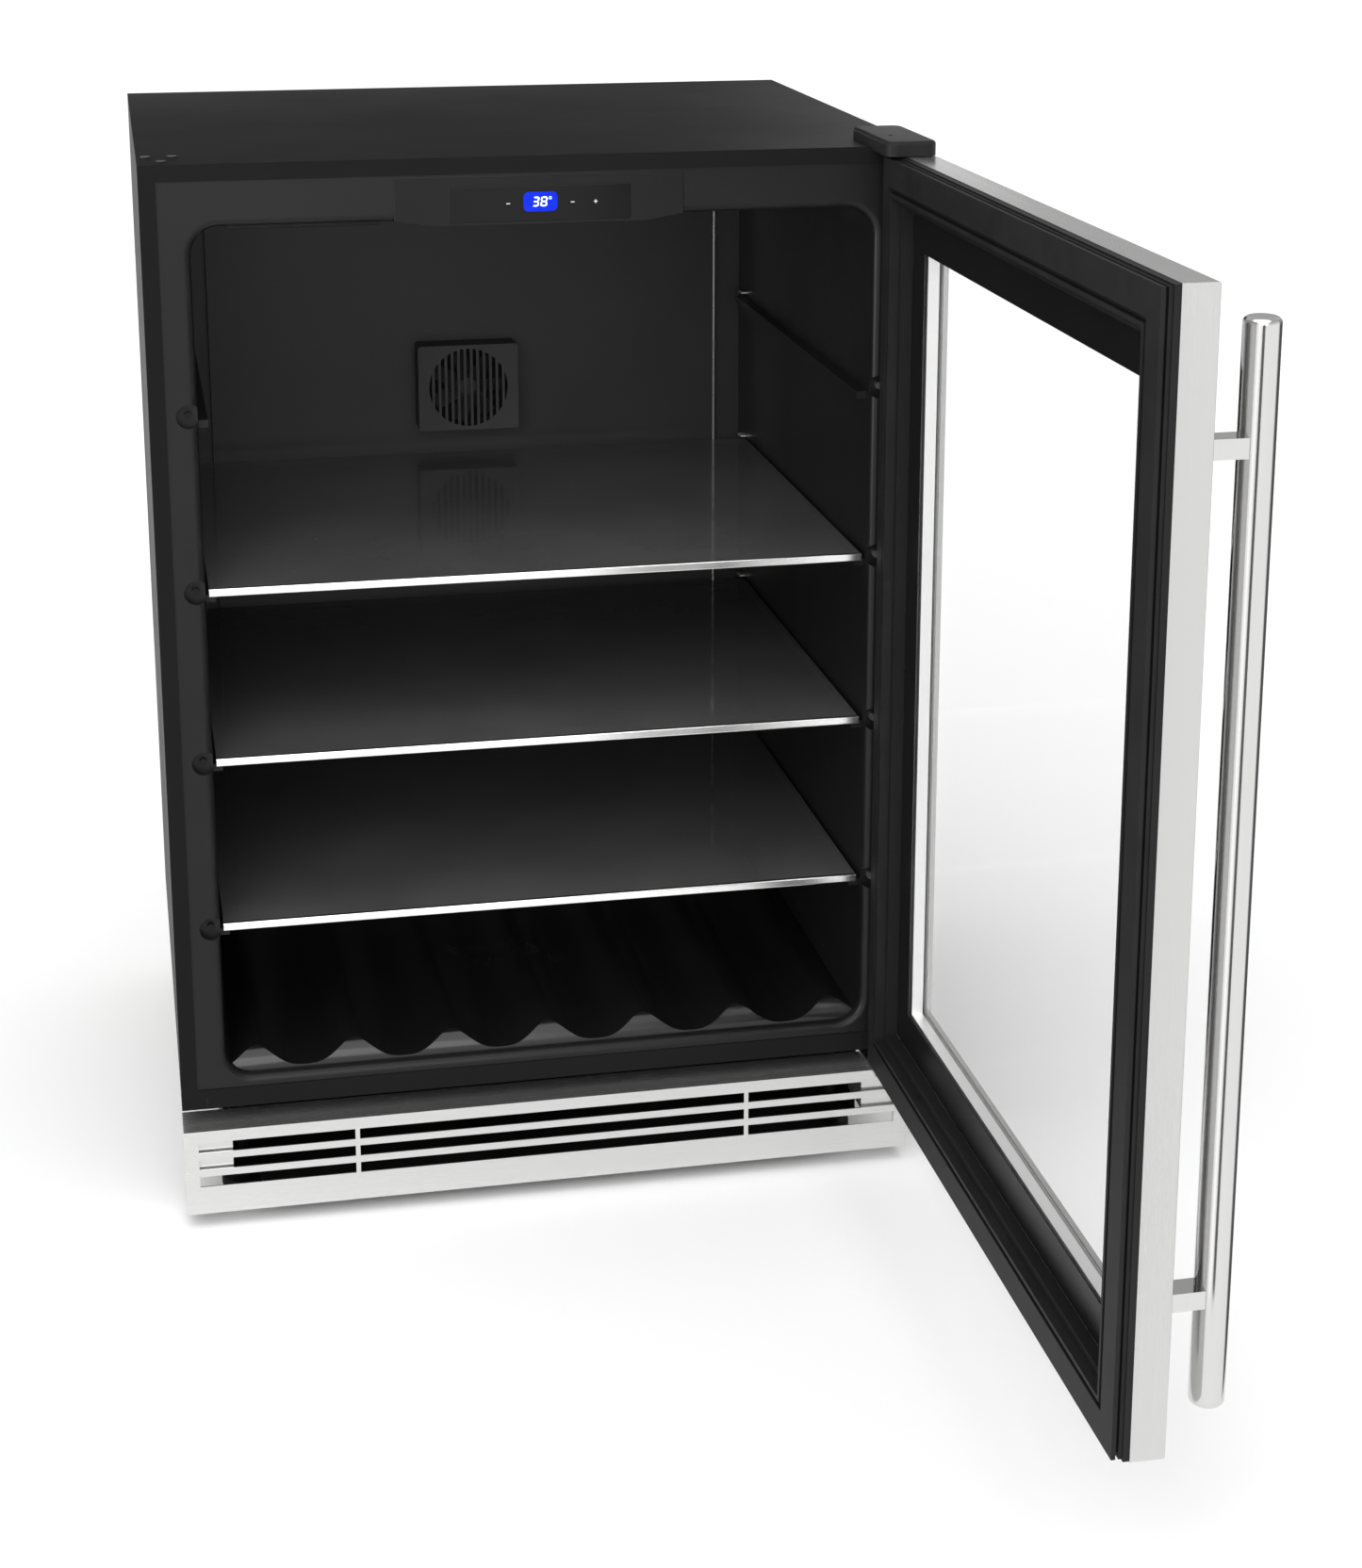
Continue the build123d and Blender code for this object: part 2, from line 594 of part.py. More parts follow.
def evaporator_plate():
    """Flat evaporator with a raised serpentine channel."""
    plate = block(-226, 232, 480, EVAPORATOR_BACK, 240, 800)
    channels = 9
    for i in range(channels):
        z = 270 + 62 * i
        plate += block(-205, 205, 478.6, 480, z - 4, z + 4)
        if i + 1 < channels:
            x = 201 if i % 2 == 0 else -201
            plate += block(x - 4, x + 4, 478.6, 480, z, z + 62)
    return plate


COVER_HALF = 240.0


def evaporator_cover():
    """Raised panel in front of the evaporator, with the fan opening and a row of return vents."""
    cover = block(-COVER_HALF, COVER_HALF, COVER_FRONT, CAVITY_BACK, HUMP_TOP + 3, CAVITY_TOP - 4)
    half = COVER_HALF - 2
    cover -= block(-half, half, COVER_FRONT + 2, CAVITY_BACK + 1, HUMP_TOP + 5, CAVITY_TOP - 6)
    cover -= rod_y(FAN_X, FAN_Z, COVER_FRONT - 1, COVER_FRONT + 3, FAN_HOLE)
    for i in range(16):
        x = -187.5 + 25 * i
        cover -= block(x - 8, x + 8, COVER_FRONT - 1, COVER_FRONT + 3, 228, 232)
    return cover


def fan_housing():
    """Square box on the cover with a round grille of upright bars."""
    width, height = FAN_FACE
    x0, x1 = FAN_X - width / 2, FAN_X + width / 2
    z0, z1 = FAN_Z - height / 2, FAN_Z + height / 2
    box = block(x0, x1, FAN_FRONT, COVER_FRONT, z0, z1)
    box = fillet(box.edges().filter_by(Axis.Y), 3)
    box -= block(x0 + 2, x1 - 2, FAN_FRONT + 2, COVER_FRONT + 1, z0 + 2, z1 - 2)
    hole = rod_y(FAN_X, FAN_Z, FAN_FRONT - 1, FAN_FRONT + 3, FAN_HOLE)
    slots = None
    for i in range(-6, 7):
        slot = block(FAN_X + 6 * i - 1.7, FAN_X + 6 * i + 1.7, FAN_FRONT - 1, FAN_FRONT + 3, z0, z1)
        slots = slot if slots is None else slots + slot
    return box - (slots & hole)


MOTOR_FRONT = 464.0


def evaporator_fan_motor():
    """Motor on three arms fixed to the cover."""
    motor = rod_y(FAN_X, FAN_Z, MOTOR_FRONT, 477, 15) + rod_y(FAN_X, FAN_Z, MOTOR_FRONT - 2, MOTOR_FRONT, 4)
    for i in range(3):
        arm = Pos(25.5, 0, 0) * Box(25, 1.6, 5)
        arm = Rot(0, 120 * i + 30, 0) * arm
        motor += Pos(FAN_X, 473.8, FAN_Z) * arm
    ring = rod_y(FAN_X, FAN_Z, 473, 474.6, 40.2) - rod_y(FAN_X, FAN_Z, 472, 476, 36)
    ring = ring & block(FAN_X - 45, FAN_X + 45, 470, 476, FAN_Z - 38.5, FAN_Z + 38.5)
    bore = rod_y(FAN_X, FAN_Z, MOTOR_FRONT - 3, 475, 1.5 + RUNNING)
    return motor + ring - bore


def evaporator_fan_blade():
    wheel = propeller(34, 8, 9, 7, 15) + Pos(0, 0, -6) * Cylinder(1.5, 12)
    return Pos(FAN_X, 461.5, FAN_Z) * Rot(90, 0, 0) * wheel


# ---------------------------------------------------------------- inside fittings
def shelf_pins():
    """Bright locating pins beside each ledge: one in the front recess, two near the rear."""
    pins = []
    for level in LEVELS:
        for side in (-1, 1):
            pins.append(rod_y(side * 273.5, level + 4, 5, 9, 2.8))
            for y in (453, 461):
                pin = rod_x(y, level + 1.5, CAVITY_HALF - 5, CAVITY_HALF, 2.2)
                pins.append(pin if side == 1 else mirror(pin, about=Plane.YZ))
    return group(pins)


def shelf_glass(level):
    low = level - SHELF_THICK / 2
    pane = block(-SHELF_HALF_WIDTH, SHELF_HALF_WIDTH, SHELF_FRONT, SHELF_BACK, low, low + SHELF_THICK)
    return fillet(pane.edges().filter_by(Axis.Z).group_by(Axis.Y)[-1], 8)


def shelf_trim(level):
    """Front edge strip of a shelf."""
    strip = block(-SHELF_HALF_WIDTH, SHELF_HALF_WIDTH, SHELF_FRONT - 3, SHELF_FRONT, level - 3.2, level + 3.2)
    return fillet(strip.edges().filter_by(Axis.X).group_by(Axis.Y)[0], 1)


RIB_PITCH = 80.5
RIB_HEIGHT = 15.0
INSERT_HALF = 262.0
INSERT_SHEET = 2.5
INSERT_FRONT = 8.5
INSERT_NOSE = 16.0  # radius at the front of the crests


def ribbed_block(lift, front, floor, nose):
    """Everything under a wave whose crests run front to back, with the crests rounded down at the front."""
    steps = 26
    xs = [-INSERT_HALF + 2 * INSERT_HALF * i / (4 * steps) for i in range(4 * steps + 1)]
    z0 = CAVITY_BOTTOM + 0.2
    wave = [(x, z0 + lift + RIB_HEIGHT * (0.5 + 0.5 * cos(2 * pi * x / RIB_PITCH)) ** 1.5) for x in xs]
    top = Spline(*wave)
    right = Line(top @ 1, (INSERT_HALF, floor))
    base = Line((INSERT_HALF, floor), (-INSERT_HALF, floor))
    left = Line((-INSERT_HALF, floor), top @ 0)
    ribbed = extruded_y(make_face([top, right, base, left]), front, HUMP_FRONT - 4)
    room = block(-SIDE, SIDE, front, HUMP_FRONT, floor - 1, z0 + INSERT_SHEET + RIB_HEIGHT + nose - INSERT_NOSE + 0.4)
    front_top = room.edges().filter_by(Axis.X).group_by(Axis.Z)[-1].group_by(Axis.Y)[0]
    return ribbed & fillet(front_top, nose)


def floor_insert():
    """Ribbed floor liner: a moulded sheet, closed by rounded ends at the front of its crests."""
    insert = ribbed_block(INSERT_SHEET, INSERT_FRONT, CAVITY_BOTTOM + 0.2, INSERT_NOSE)
    insert -= ribbed_block(0, INSERT_FRONT + INSERT_SHEET, CAVITY_BOTTOM - 5, INSERT_NOSE - INSERT_SHEET)
    keep = rounded_tunnel(CAVITY_HALF - 0.5, CAVITY_BOTTOM + 0.2, CAVITY_TOP, CAVITY_RADIUS, 5, HUMP_FRONT)
    return insert & keep


# ---------------------------------------------------------------- control header
HEADER_HALF = 112.5
HEADER_TOP = 850.0
HEADER_LOW = 813.0
HEADER_BACK = 32.0
PANEL_HALF = 70.5
PANEL_LOW = 815.5
PANEL_TOP = 843.0
DISPLAY_HALF = 13.2
DISPLAY_Z = (823.0, 838.0)


def control_pocket():
    """Room for the control housing in the header."""
    return block(-HEADER_HALF, HEADER_HALF, 0, HEADER_BACK, CAVITY_TOP - LIP_RADIUS, HEADER_TOP)


def control_housing():
    """Black housing whose lower edge hangs a little under the header."""
    outline = Polyline(
        (-84, HEADER_LOW), (84, HEADER_LOW), (HEADER_HALF, CAVITY_TOP), (HEADER_HALF, HEADER_TOP),
        (-HEADER_HALF, HEADER_TOP), (-HEADER_HALF, CAVITY_TOP), (-84, HEADER_LOW)
    )
    housing = extruded_y(make_face(outline), 0.4, HEADER_BACK)
    housing = fillet(housing.edges().group_by(Axis.Y)[0], 0.8)
    housing -= block(-PANEL_HALF, PANEL_HALF, -1, 2.4, PANEL_LOW, PANEL_TOP)
    housing -= block(-PANEL_HALF + 4, PANEL_HALF - 4, 2, HEADER_BACK - 2, PANEL_LOW + 2, PANEL_TOP - 2)
    return housing


def display_shape(y0, y1):
    """Rounded block of the display's outline."""
    z0, z1 = DISPLAY_Z
    sketch = Pos(0, (z0 + z1) / 2) * RectangleRounded(2 * DISPLAY_HALF, z1 - z0, 4)
    return extruded_y(sketch, y0, y1)


def control_panel():
    """Glossy touch panel with a window for the display."""
    panel = block(-PANEL_HALF, PANEL_HALF, 0, 2.4, PANEL_LOW, PANEL_TOP)
    panel = fillet(panel.edges().group_by(Axis.Y)[0], 0.6)
    return panel - display_shape(-1, 3)


def control_board():
    """Circuit board with its relay, transformer and connector."""
    board = block(-62, 62, 6, 7.6, 819, 839)
    parts = block(-50, -34, 7.6, 22, 821, 837) + block(-20, 0, 7.6, 18, 822, 836) + block(20, 50, 7.6, 16, 824, 834)
    return board + parts


def interior_light():
    """Slim light bar in the ceiling, left of the control housing."""
    bar = block(-238, -122, 10, 20, CAVITY_TOP - 3.5, CAVITY_TOP)
    return fillet(bar.edges().group_by(Axis.Z)[0], 1)


# ---------------------------------------------------------------- hinges
PLATE = 3.0
HINGE_X = (271.0, 301.0)


def hinge_leaf(z0, z1, back):
    """Flat leaf from behind the front face to just past the pivot."""
    leaf = block(HINGE_X[0], HINGE_X[1], PIVOT_Y - 12, back, z0, z1)
    return fillet(leaf.edges().filter_by(Axis.Z).group_by(Axis.Y)[0], 8)


def top_hinge_plate():
    leaf = hinge_leaf(HEIGHT, HEIGHT + PLATE, 56)
    leaf -= rod_z(PIVOT_X, PIVOT_Y, HEIGHT - 1, HEIGHT + PLATE + 1, PIN_RADIUS)
    for x, y in HINGE_SCREW_PLACES:
        leaf -= rod_z(x, y, HEIGHT - 1, HEIGHT + PLATE + 1, SCREW_RADIUS)
    return leaf


def hinge_screws():
    """Three screws through the top hinge plate."""
    screws = []
    for x, y in HINGE_SCREW_PLACES:
        head = fillet(rod_z(x, y, HEIGHT + PLATE, HEIGHT + PLATE + 2.6, 4.4).edges().group_by(Axis.Z)[-1], 1.2)
        screws.append(head + rod_z(x, y, HEIGHT - 15, HEIGHT + PLATE, SCREW_RADIUS))
    return group(screws)


def top_hinge_cover():
    """Low rounded cap over the plate and its screws."""
    cap = block(262, SIDE, -46, 62, HEIGHT, HEIGHT + 9)
    cap = fillet(cap.edges().filter_by(Axis.Z), 9)
    cap = fillet(cap.edges().group_by(Axis.Z)[-1], 3)
    room = block(HINGE_X[0] - 0.5, HINGE_X[1] + 0.5, PIVOT_Y - 12.5, 57, HEIGHT - 1, HEIGHT + 6.5)
    cap -= room
    skirt = block(262, SIDE, -46, -2, DOOR_TOP + 0.7, HEIGHT)
    skirt = fillet(skirt.edges().filter_by(Axis.Z).group_by(Axis.Y)[0], 9)
    skirt -= block(HINGE_X[0] - 0.5, HINGE_X[1] + 0.5, PIVOT_Y - 12.5, 0, DOOR_TOP, HEIGHT + 1)
    return cap + skirt - rod_z(276, -4, HEIGHT + 8.4, HEIGHT + 10, 2)


def bottom_hinge_bracket():
    """Leaf under the door, fixed beneath the front cross channel."""
    leaf = hinge_leaf(CROSS_BOTTOM - PLATE, CROSS_BOTTOM, 59)
    return leaf - rod_z(PIVOT_X, PIVOT_Y, CROSS_BOTTOM - PLATE - 1, CROSS_BOTTOM + 1, PIN_RADIUS)


def hinge_pins():
    """Upper and lower pins, riveted into their leaves; the lower one has a shoulder that carries the door."""
    upper = rod_z(PIVOT_X, PIVOT_Y, DOOR_TOP - 20, HEIGHT + PLATE, PIN_RADIUS)
    lower = rod_z(PIVOT_X, PIVOT_Y, CROSS_BOTTOM - PLATE, DOOR_BOTTOM + 20, PIN_RADIUS)
    lower += rod_z(PIVOT_X, PIVOT_Y, CROSS_BOTTOM, DOOR_BOTTOM - 0.1, 8)
    return group([upper, lower])


# ---------------------------------------------------------------- door, drawn closed
def swing_open(shape):
    """Turn a closed door piece to its resting place at a right angle to the front."""
    return Pos(PIVOT_X, PIVOT_Y, 0) * Rot(0, 0, 90) * Pos(-PIVOT_X, -PIVOT_Y, 0) * shape


def door_block(inset, y0, y1):
    """A full block of the door's outline, drawn in by inset."""
    return block(-SIDE + inset, SIDE - inset, y0, y1, DOOR_BOTTOM + inset, DOOR_TOP - inset)


def door_ring(outer_inset, inner_inset, y0, y1):
    """A rectangular ring of the door's outline."""
    return door_block(outer_inset, y0, y1) - door_block(inner_inset, y0 - 1, y1 + 1)


def clear_of_swing(shape):
    """Round the hinge edge so that it passes the cabinet's face as the door turns."""
    corner = block(PIVOT_X, SIDE + 1, PIVOT_Y, 1, 0, HEIGHT)
    sweep_room = rod_z(PIVOT_X, PIVOT_Y, -1, HEIGHT + 1, -PIVOT_Y - 0.5)
    return shape - (corner - sweep_room)


BUSHING_RADIUS = 6.5
BUSHING_LENGTH = 22.0
GASKET_DART = (15.0, 17.0)
MAGNET = (9.0, 19.0)


def bushing_room():
    """Bores of the two hinge bushings."""
    low = rod_z(PIVOT_X, PIVOT_Y, DOOR_BOTTOM - 1, DOOR_BOTTOM + BUSHING_LENGTH, BUSHING_RADIUS)
    high = rod_z(PIVOT_X, PIVOT_Y, DOOR_TOP - BUSHING_LENGTH, DOOR_TOP + 1, BUSHING_RADIUS)
    return low + high


def door_bushings():
    """Nylon bushings for the hinge pins."""
    sleeves = []
    for z0 in (DOOR_BOTTOM, DOOR_TOP - BUSHING_LENGTH):
        sleeve = rod_z(PIVOT_X, PIVOT_Y, z0, z0 + BUSHING_LENGTH, BUSHING_RADIUS)
        sleeves.append(sleeve - rod_z(PIVOT_X, PIVOT_Y, z0 - 1, z0 + BUSHING_LENGTH + 1, PIN_RADIUS + RUNNING))
    return group(sleeves)


def door_outer_frame():
    """Stainless frame: front, edge and window flanges folded from one sheet."""
    body = door_block(0, DOOR_OUTER, DOOR_LINER)
    front = body.faces().sort_by(Axis.Y)[0]
    body = fillet(front.edges(), 1.5)
    body -= door_block(DOOR_SHEET, PLATE_BACK, DOOR_LINER + 1)
    body -= door_block(WINDOW_INSET, DOOR_OUTER - 1, DOOR_LINER)
    body += door_ring(WINDOW_INSET - DOOR_SHEET, WINDOW_INSET, PLATE_BACK, OUTER_PANE_OUT)
    body -= bushing_room()
    for z in POST_HEIGHTS:
        body -= rod_y(HANDLE_X, z, DOOR_OUTER - 1, DOOR_LINER, 2.6)
    return body


GLASS_INSET = 34.0


def door_core():
    """Insulating core inside the stainless frame, with a seat behind the glass."""
    core = door_ring(DOOR_SHEET, GLASS_INSET, PLATE_BACK, DOOR_LINER)
    core += door_ring(GLASS_INSET, WINDOW_INSET - DOOR_SHEET, PLATE_BACK, OUTER_PANE_OUT)
    core -= bushing_room()
    for z in POST_HEIGHTS:
        core -= rod_y(HANDLE_X, z, PLATE_BACK - 1, OUTER_PANE_OUT, 4.5)
    return core


MITRE = 50.0


def in_four_bars(ring):
    """The ring cut at its mitred corners into two stiles and two rails."""
    x0, x1, z0, z1 = -SIDE, SIDE, DOOR_BOTTOM, DOOR_TOP
    outer = ((x0, z0), (x1, z0), (x1, z1), (x0, z1))
    inner = ((x0 + MITRE, z0 + MITRE), (x1 - MITRE, z0 + MITRE), (x1 - MITRE, z1 - MITRE), (x0 + MITRE, z1 - MITRE))
    bars = []
    for i in range(4):
        j = (i + 1) % 4
        outline = make_face(Polyline(outer[i], outer[j], inner[j], inner[i], outer[i]))
        bars.append(ring & extruded_y(outline, DOOR_OUTER - 5, 5))
    return group(bars)


def door_inner_frame():
    """Black frame of four mitred bars that holds the glass and carries the gasket."""
    face = door_ring(0.6, GLASS_INSET + 4, DOOR_LINER, DOOR_GASKET)
    skirt = door_ring(GLASS_INSET, GLASS_INSET + 4, GLASS_FACE, DOOR_LINER)
    groove = door_ring(GASKET_DART[0], GASKET_DART[1], DOOR_GASKET - 2, DOOR_GASKET + 1)
    return in_four_bars(clear_of_swing(face + skirt - groove))


def magnet_bars():
    """Four magnet strips inside the gasket."""
    y0, y1 = DOOR_INNER - 5, DOOR_INNER - 2
    near, far = MAGNET
    x0, x1 = -SIDE, SIDE
    z0, z1 = DOOR_BOTTOM, DOOR_TOP
    return [
        block(x0 + near, x0 + far, y0, y1, z0 + 25, z1 - 25),
        block(x1 - far - 3, x1 - near - 3, y0, y1, z0 + 25, z1 - 25),
        block(x0 + 30, x1 - 30, y0, y1, z0 + near, z0 + far),
        block(x0 + 30, x1 - 30, y0, y1, z1 - far, z1 - near),
    ]


def gasket_magnet():
    return group(magnet_bars())


def door_gasket():
    """Soft seal of four lengths joined at mitred corners, with a folded edge, a relief groove and a fixing dart."""
    seal = door_ring(2, 31, DOOR_GASKET, DOOR_INNER)
    seal += door_ring(GASKET_DART[0], GASKET_DART[1], DOOR_GASKET - 2, DOOR_GASKET)
    seal -= door_ring(24, 28, DOOR_INNER - 4, DOOR_INNER + 1)
    seal -= door_ring(1, 5.5, DOOR_INNER - 5, DOOR_INNER - 3)
    for bar in magnet_bars():
        seal -= bar
    return in_four_bars(clear_of_swing(seal))


def door_panes():
    """Inner and outer pane of the insulating glass."""
    inner = door_block(GLASS_INSET + 0.3, INNER_PANE_OUT, GLASS_FACE)
    outer = door_block(GLASS_INSET + 0.3, OUTER_PANE_OUT, OUTER_PANE_IN)
    return group([inner, outer])


def glass_spacer():
    """Metal spacer between the panes, just outside the clear window."""
    return door_ring(WINDOW_INSET - 8, WINDOW_INSET, OUTER_PANE_IN, INNER_PANE_OUT)


def handle_tube():
    """Round tube with closed, softly rounded ends."""
    tube = rod_z(HANDLE_X, HANDLE_Y, HANDLE_BOTTOM, HANDLE_TOP, HANDLE_RADIUS)
    tube = fillet(tube.edges().group_by(Axis.Z)[0] + tube.edges().group_by(Axis.Z)[-1], 4)
    tube -= rod_z(HANDLE_X, HANDLE_Y, HANDLE_BOTTOM + 6, HANDLE_TOP - 6, HANDLE_RADIUS - 1.5)
    return tube


def handle_posts():
    """Two standoffs, shaped to the tube and tapped for their screws."""
    posts = []
    for z in POST_HEIGHTS:
        post = block(HANDLE_X - 9, HANDLE_X + 9, HANDLE_Y, DOOR_OUTER, z - 6.5, z + 6.5)
        post -= rod_z(HANDLE_X, HANDLE_Y, z - 10, z + 10, HANDLE_RADIUS)
        post -= rod_y(HANDLE_X, z, DOOR_OUTER - 16, DOOR_OUTER + 1, 2.5)
        posts.append(post)
    return group(posts)


def handle_screws():
    """Screws from inside the door's front sheet into the standoffs."""
    screws = []
    for z in POST_HEIGHTS:
        head = rod_y(HANDLE_X, z, PLATE_BACK, PLATE_BACK + 2.6, 4.2)
        screws.append(head + rod_y(HANDLE_X, z, DOOR_OUTER - 14, PLATE_BACK, 2.5))
    return group(screws)


# ---------------------------------------------------------------- every node
SHELF_NAMES = {"bottom": LEVELS[0], "middle": LEVELS[1], "top": LEVELS[2]}

CABINET_NODES = (
    outer_wrapper, rear_panel, machine_cover, cord_inlet, base_pan, base_frame, inner_liner,
    foam_insulation, hole_plugs, kick_plate, kick_plate_brackets, compressor, compressor_mounts,
    start_relay, condenser, condenser_fan_shroud, condenser_fan_motor, condenser_fan_blade,
    filter_drier, refrigerant_tubing, drain_pan, drain_tube, evaporator_plate, evaporator_cover,
    fan_housing, evaporator_fan_motor, evaporator_fan_blade, shelf_pins, floor_insert,
    control_housing, control_panel, control_board, interior_light, top_hinge_plate, hinge_screws,
    top_hinge_cover, bottom_hinge_bracket, hinge_pins,
)

DOOR_NODES = (
    door_outer_frame, door_core, door_inner_frame, door_gasket, gasket_magnet, door_panes,
    glass_spacer, door_bushings, handle_tube, handle_posts, handle_screws,
)


def main():
    os.makedirs("parts", exist_ok=True)
    for make in CABINET_NODES:
        export_node(make.__name__, make())
    export_node("display_window", display_shape(0, 2.4))
    for name, level in SHELF_NAMES.items():
        export_node(f"shelf_glass_{name}", shelf_glass(level))
        export_node(f"shelf_trim_{name}", shelf_trim(level))
    for name, (x, y) in LEG_PLACES.items():
        export_node(name, levelling_leg(x, y))
    for make in DOOR_NODES:
        export_node(make.__name__, swing_open(make()))


main()
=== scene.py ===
import math

import bmesh
import bpy
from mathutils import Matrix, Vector


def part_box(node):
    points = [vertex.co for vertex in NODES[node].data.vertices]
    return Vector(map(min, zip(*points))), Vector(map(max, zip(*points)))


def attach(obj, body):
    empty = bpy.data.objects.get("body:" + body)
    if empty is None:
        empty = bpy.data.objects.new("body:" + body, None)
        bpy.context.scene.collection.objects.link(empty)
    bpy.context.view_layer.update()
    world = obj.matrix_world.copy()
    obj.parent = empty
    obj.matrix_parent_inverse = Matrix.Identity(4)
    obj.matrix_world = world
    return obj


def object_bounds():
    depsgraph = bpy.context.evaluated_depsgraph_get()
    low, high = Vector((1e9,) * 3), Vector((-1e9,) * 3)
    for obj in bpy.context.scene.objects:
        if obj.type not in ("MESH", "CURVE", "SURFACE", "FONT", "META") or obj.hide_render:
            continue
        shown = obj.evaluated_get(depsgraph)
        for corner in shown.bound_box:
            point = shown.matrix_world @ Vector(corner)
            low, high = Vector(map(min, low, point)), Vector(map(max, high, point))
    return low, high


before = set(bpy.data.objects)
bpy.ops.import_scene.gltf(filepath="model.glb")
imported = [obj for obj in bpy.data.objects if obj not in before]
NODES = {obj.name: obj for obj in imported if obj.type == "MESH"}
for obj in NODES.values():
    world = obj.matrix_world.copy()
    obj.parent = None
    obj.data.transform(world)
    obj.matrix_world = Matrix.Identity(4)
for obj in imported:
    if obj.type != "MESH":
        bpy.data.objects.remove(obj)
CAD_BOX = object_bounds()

MM = 0.001

# Camera at the photograph's viewing angle: metres, degrees, and millimetres for the lens.
EYE = (-0.3514, -2.0718, 1.1431)
YAW, PITCH = 11.58, 14.41
FOCAL_LENGTH, SENSOR_WIDTH, SHIFT_Y = 64.41, 36.0, -0.18
CLIP_NEAR, CLIP_FAR = 0.05, 100.0

# The axis that a brushed sheet's scratches follow.
ACROSS, UPRIGHT = 0, 2


# ---------------------------------------------------------------- node-tree helpers
def grey(level, tint=(1.0, 1.0, 1.0)):
    return tuple(level * t for t in tint)


def scaled(colour, share):
    return tuple(c * share for c in colour)


def fill_ramp(ramp, stops):
    """Sets a colour ramp's stops: each is a position and a colour."""
    elements = ramp.color_ramp.elements
    while len(elements) < len(stops):
        elements.new(0.5)
    for element, (position, colour) in zip(elements, stops):
        element.position = position
        element.color = (*colour, 1.0)


class Tree:
    """A material's node tree, with short calls for the nodes that the finishes share."""

    def __init__(self, name):
        self.material = bpy.data.materials.new(name)
        self.material.use_nodes = True
        self.nodes = self.material.node_tree.nodes
        self.links = self.material.node_tree.links
        self.shader = self.nodes["Principled BSDF"]
        self.output = self.nodes["Material Output"]
        self.coordinates = self.nodes.new("ShaderNodeTexCoord").outputs
        self.place = self.coordinates["Object"]

    def feed(self, socket, value):
        """Links a socket to a socket, or sets a plain value."""
        if isinstance(value, bpy.types.NodeSocket):
            self.links.new(value, socket)
        else:
            socket.default_value = value

    def stretched(self, scale):
        """The object coordinates, scaled by a different amount along each axis."""
        node = self.nodes.new("ShaderNodeMapping")
        self.links.new(self.place, node.inputs["Vector"])
        node.inputs["Scale"].default_value = scale
        return node.outputs["Vector"]

    def axes(self, vector):
        """A vector's X, Y and Z sockets, by name."""
        node = self.nodes.new("ShaderNodeSeparateXYZ")
        self.links.new(vector, node.inputs["Vector"])
        return node.outputs

    def noise(self, scale, detail=3.0, roughness=0.5, vector=None):
        node = self.nodes.new("ShaderNodeTexNoise")
        self.links.new(vector or self.place, node.inputs["Vector"])
        node.inputs["Scale"].default_value = scale
        node.inputs["Detail"].default_value = detail
        node.inputs["Roughness"].default_value = roughness
        return node.outputs["Fac"]

    def cells(self, scale, output="Distance", feature="F1"):
        node = self.nodes.new("ShaderNodeTexVoronoi")
        node.feature = feature
        self.links.new(self.place, node.inputs["Vector"])
        node.inputs["Scale"].default_value = scale
        return node.outputs[output]

    def to_range(self, value, low, high, from_low=0.0, from_high=1.0):
        """A number that goes from low to high as the value goes from from_low to from_high."""
        node = self.nodes.new("ShaderNodeMapRange")
        self.links.new(value, node.inputs["Value"])
        node.inputs["From Min"].default_value = from_low
        node.inputs["From Max"].default_value = from_high
        node.inputs["To Min"].default_value = low
        node.inputs["To Max"].default_value = high
        return node.outputs["Result"]

    def uneven(self, noise, low, high):
        """A number that wanders from low to high with a noise, whose values crowd the middle."""
        return self.to_range(noise, low, high, from_low=0.25, from_high=0.75)

    def colours(self, value, *stops):
        """A colour ramp: each stop is a position and a colour."""
        node = self.nodes.new("ShaderNodeValToRGB")
        self.links.new(value, node.inputs["Fac"])
        fill_ramp(node, stops)
        return node.outputs["Color"]

    def two_tone(self, noise, first, second, low=0.3, high=0.7):
        """The first colour where a noise is low, the second where it is high."""
        return self.colours(noise, (low, first), (high, second))

    def bump(self, height, strength, depth, under=None):
        """A bumped normal, depth in metres. under is another bump that this one lies on."""
        node = self.nodes.new("ShaderNodeBump")
        self.links.new(height, node.inputs["Height"])
        node.inputs["Strength"].default_value = strength
        node.inputs["Distance"].default_value = depth
        if under is not None:
            self.links.new(under, node.inputs["Normal"])
        return node.outputs["Normal"]

    def maths(self, operation, a, b=0.0):
        node = self.nodes.new("ShaderNodeMath")
        node.operation = operation
        self.feed(node.inputs[0], a)
        self.feed(node.inputs[1], b)
        return node.outputs["Value"]

    def set(self, **values):
        """Sets or links the Principled shader's inputs, with _ for a space in a name."""
        for name, value in values.items():
            self.feed(self.shader.inputs[name.replace("_", " ")], value)
        return self.material

    def let_through(self, share, tint=(1.0, 1.0, 1.0)):
        """Shows share of the finish, and for the rest lets the view straight through, tinted."""
        through = self.nodes.new("ShaderNodeBsdfTransparent")
        through.inputs["Color"].default_value = (*tint, 1.0)
        mix = self.nodes.new("ShaderNodeMixShader")
        self.links.new(share, mix.inputs["Fac"])
        self.links.new(through.outputs["BSDF"], mix.inputs[1])
        self.links.new(self.shader.outputs["BSDF"], mix.inputs[2])
        self.links.new(mix.outputs["Shader"], self.output.inputs["Surface"])
        return self.material


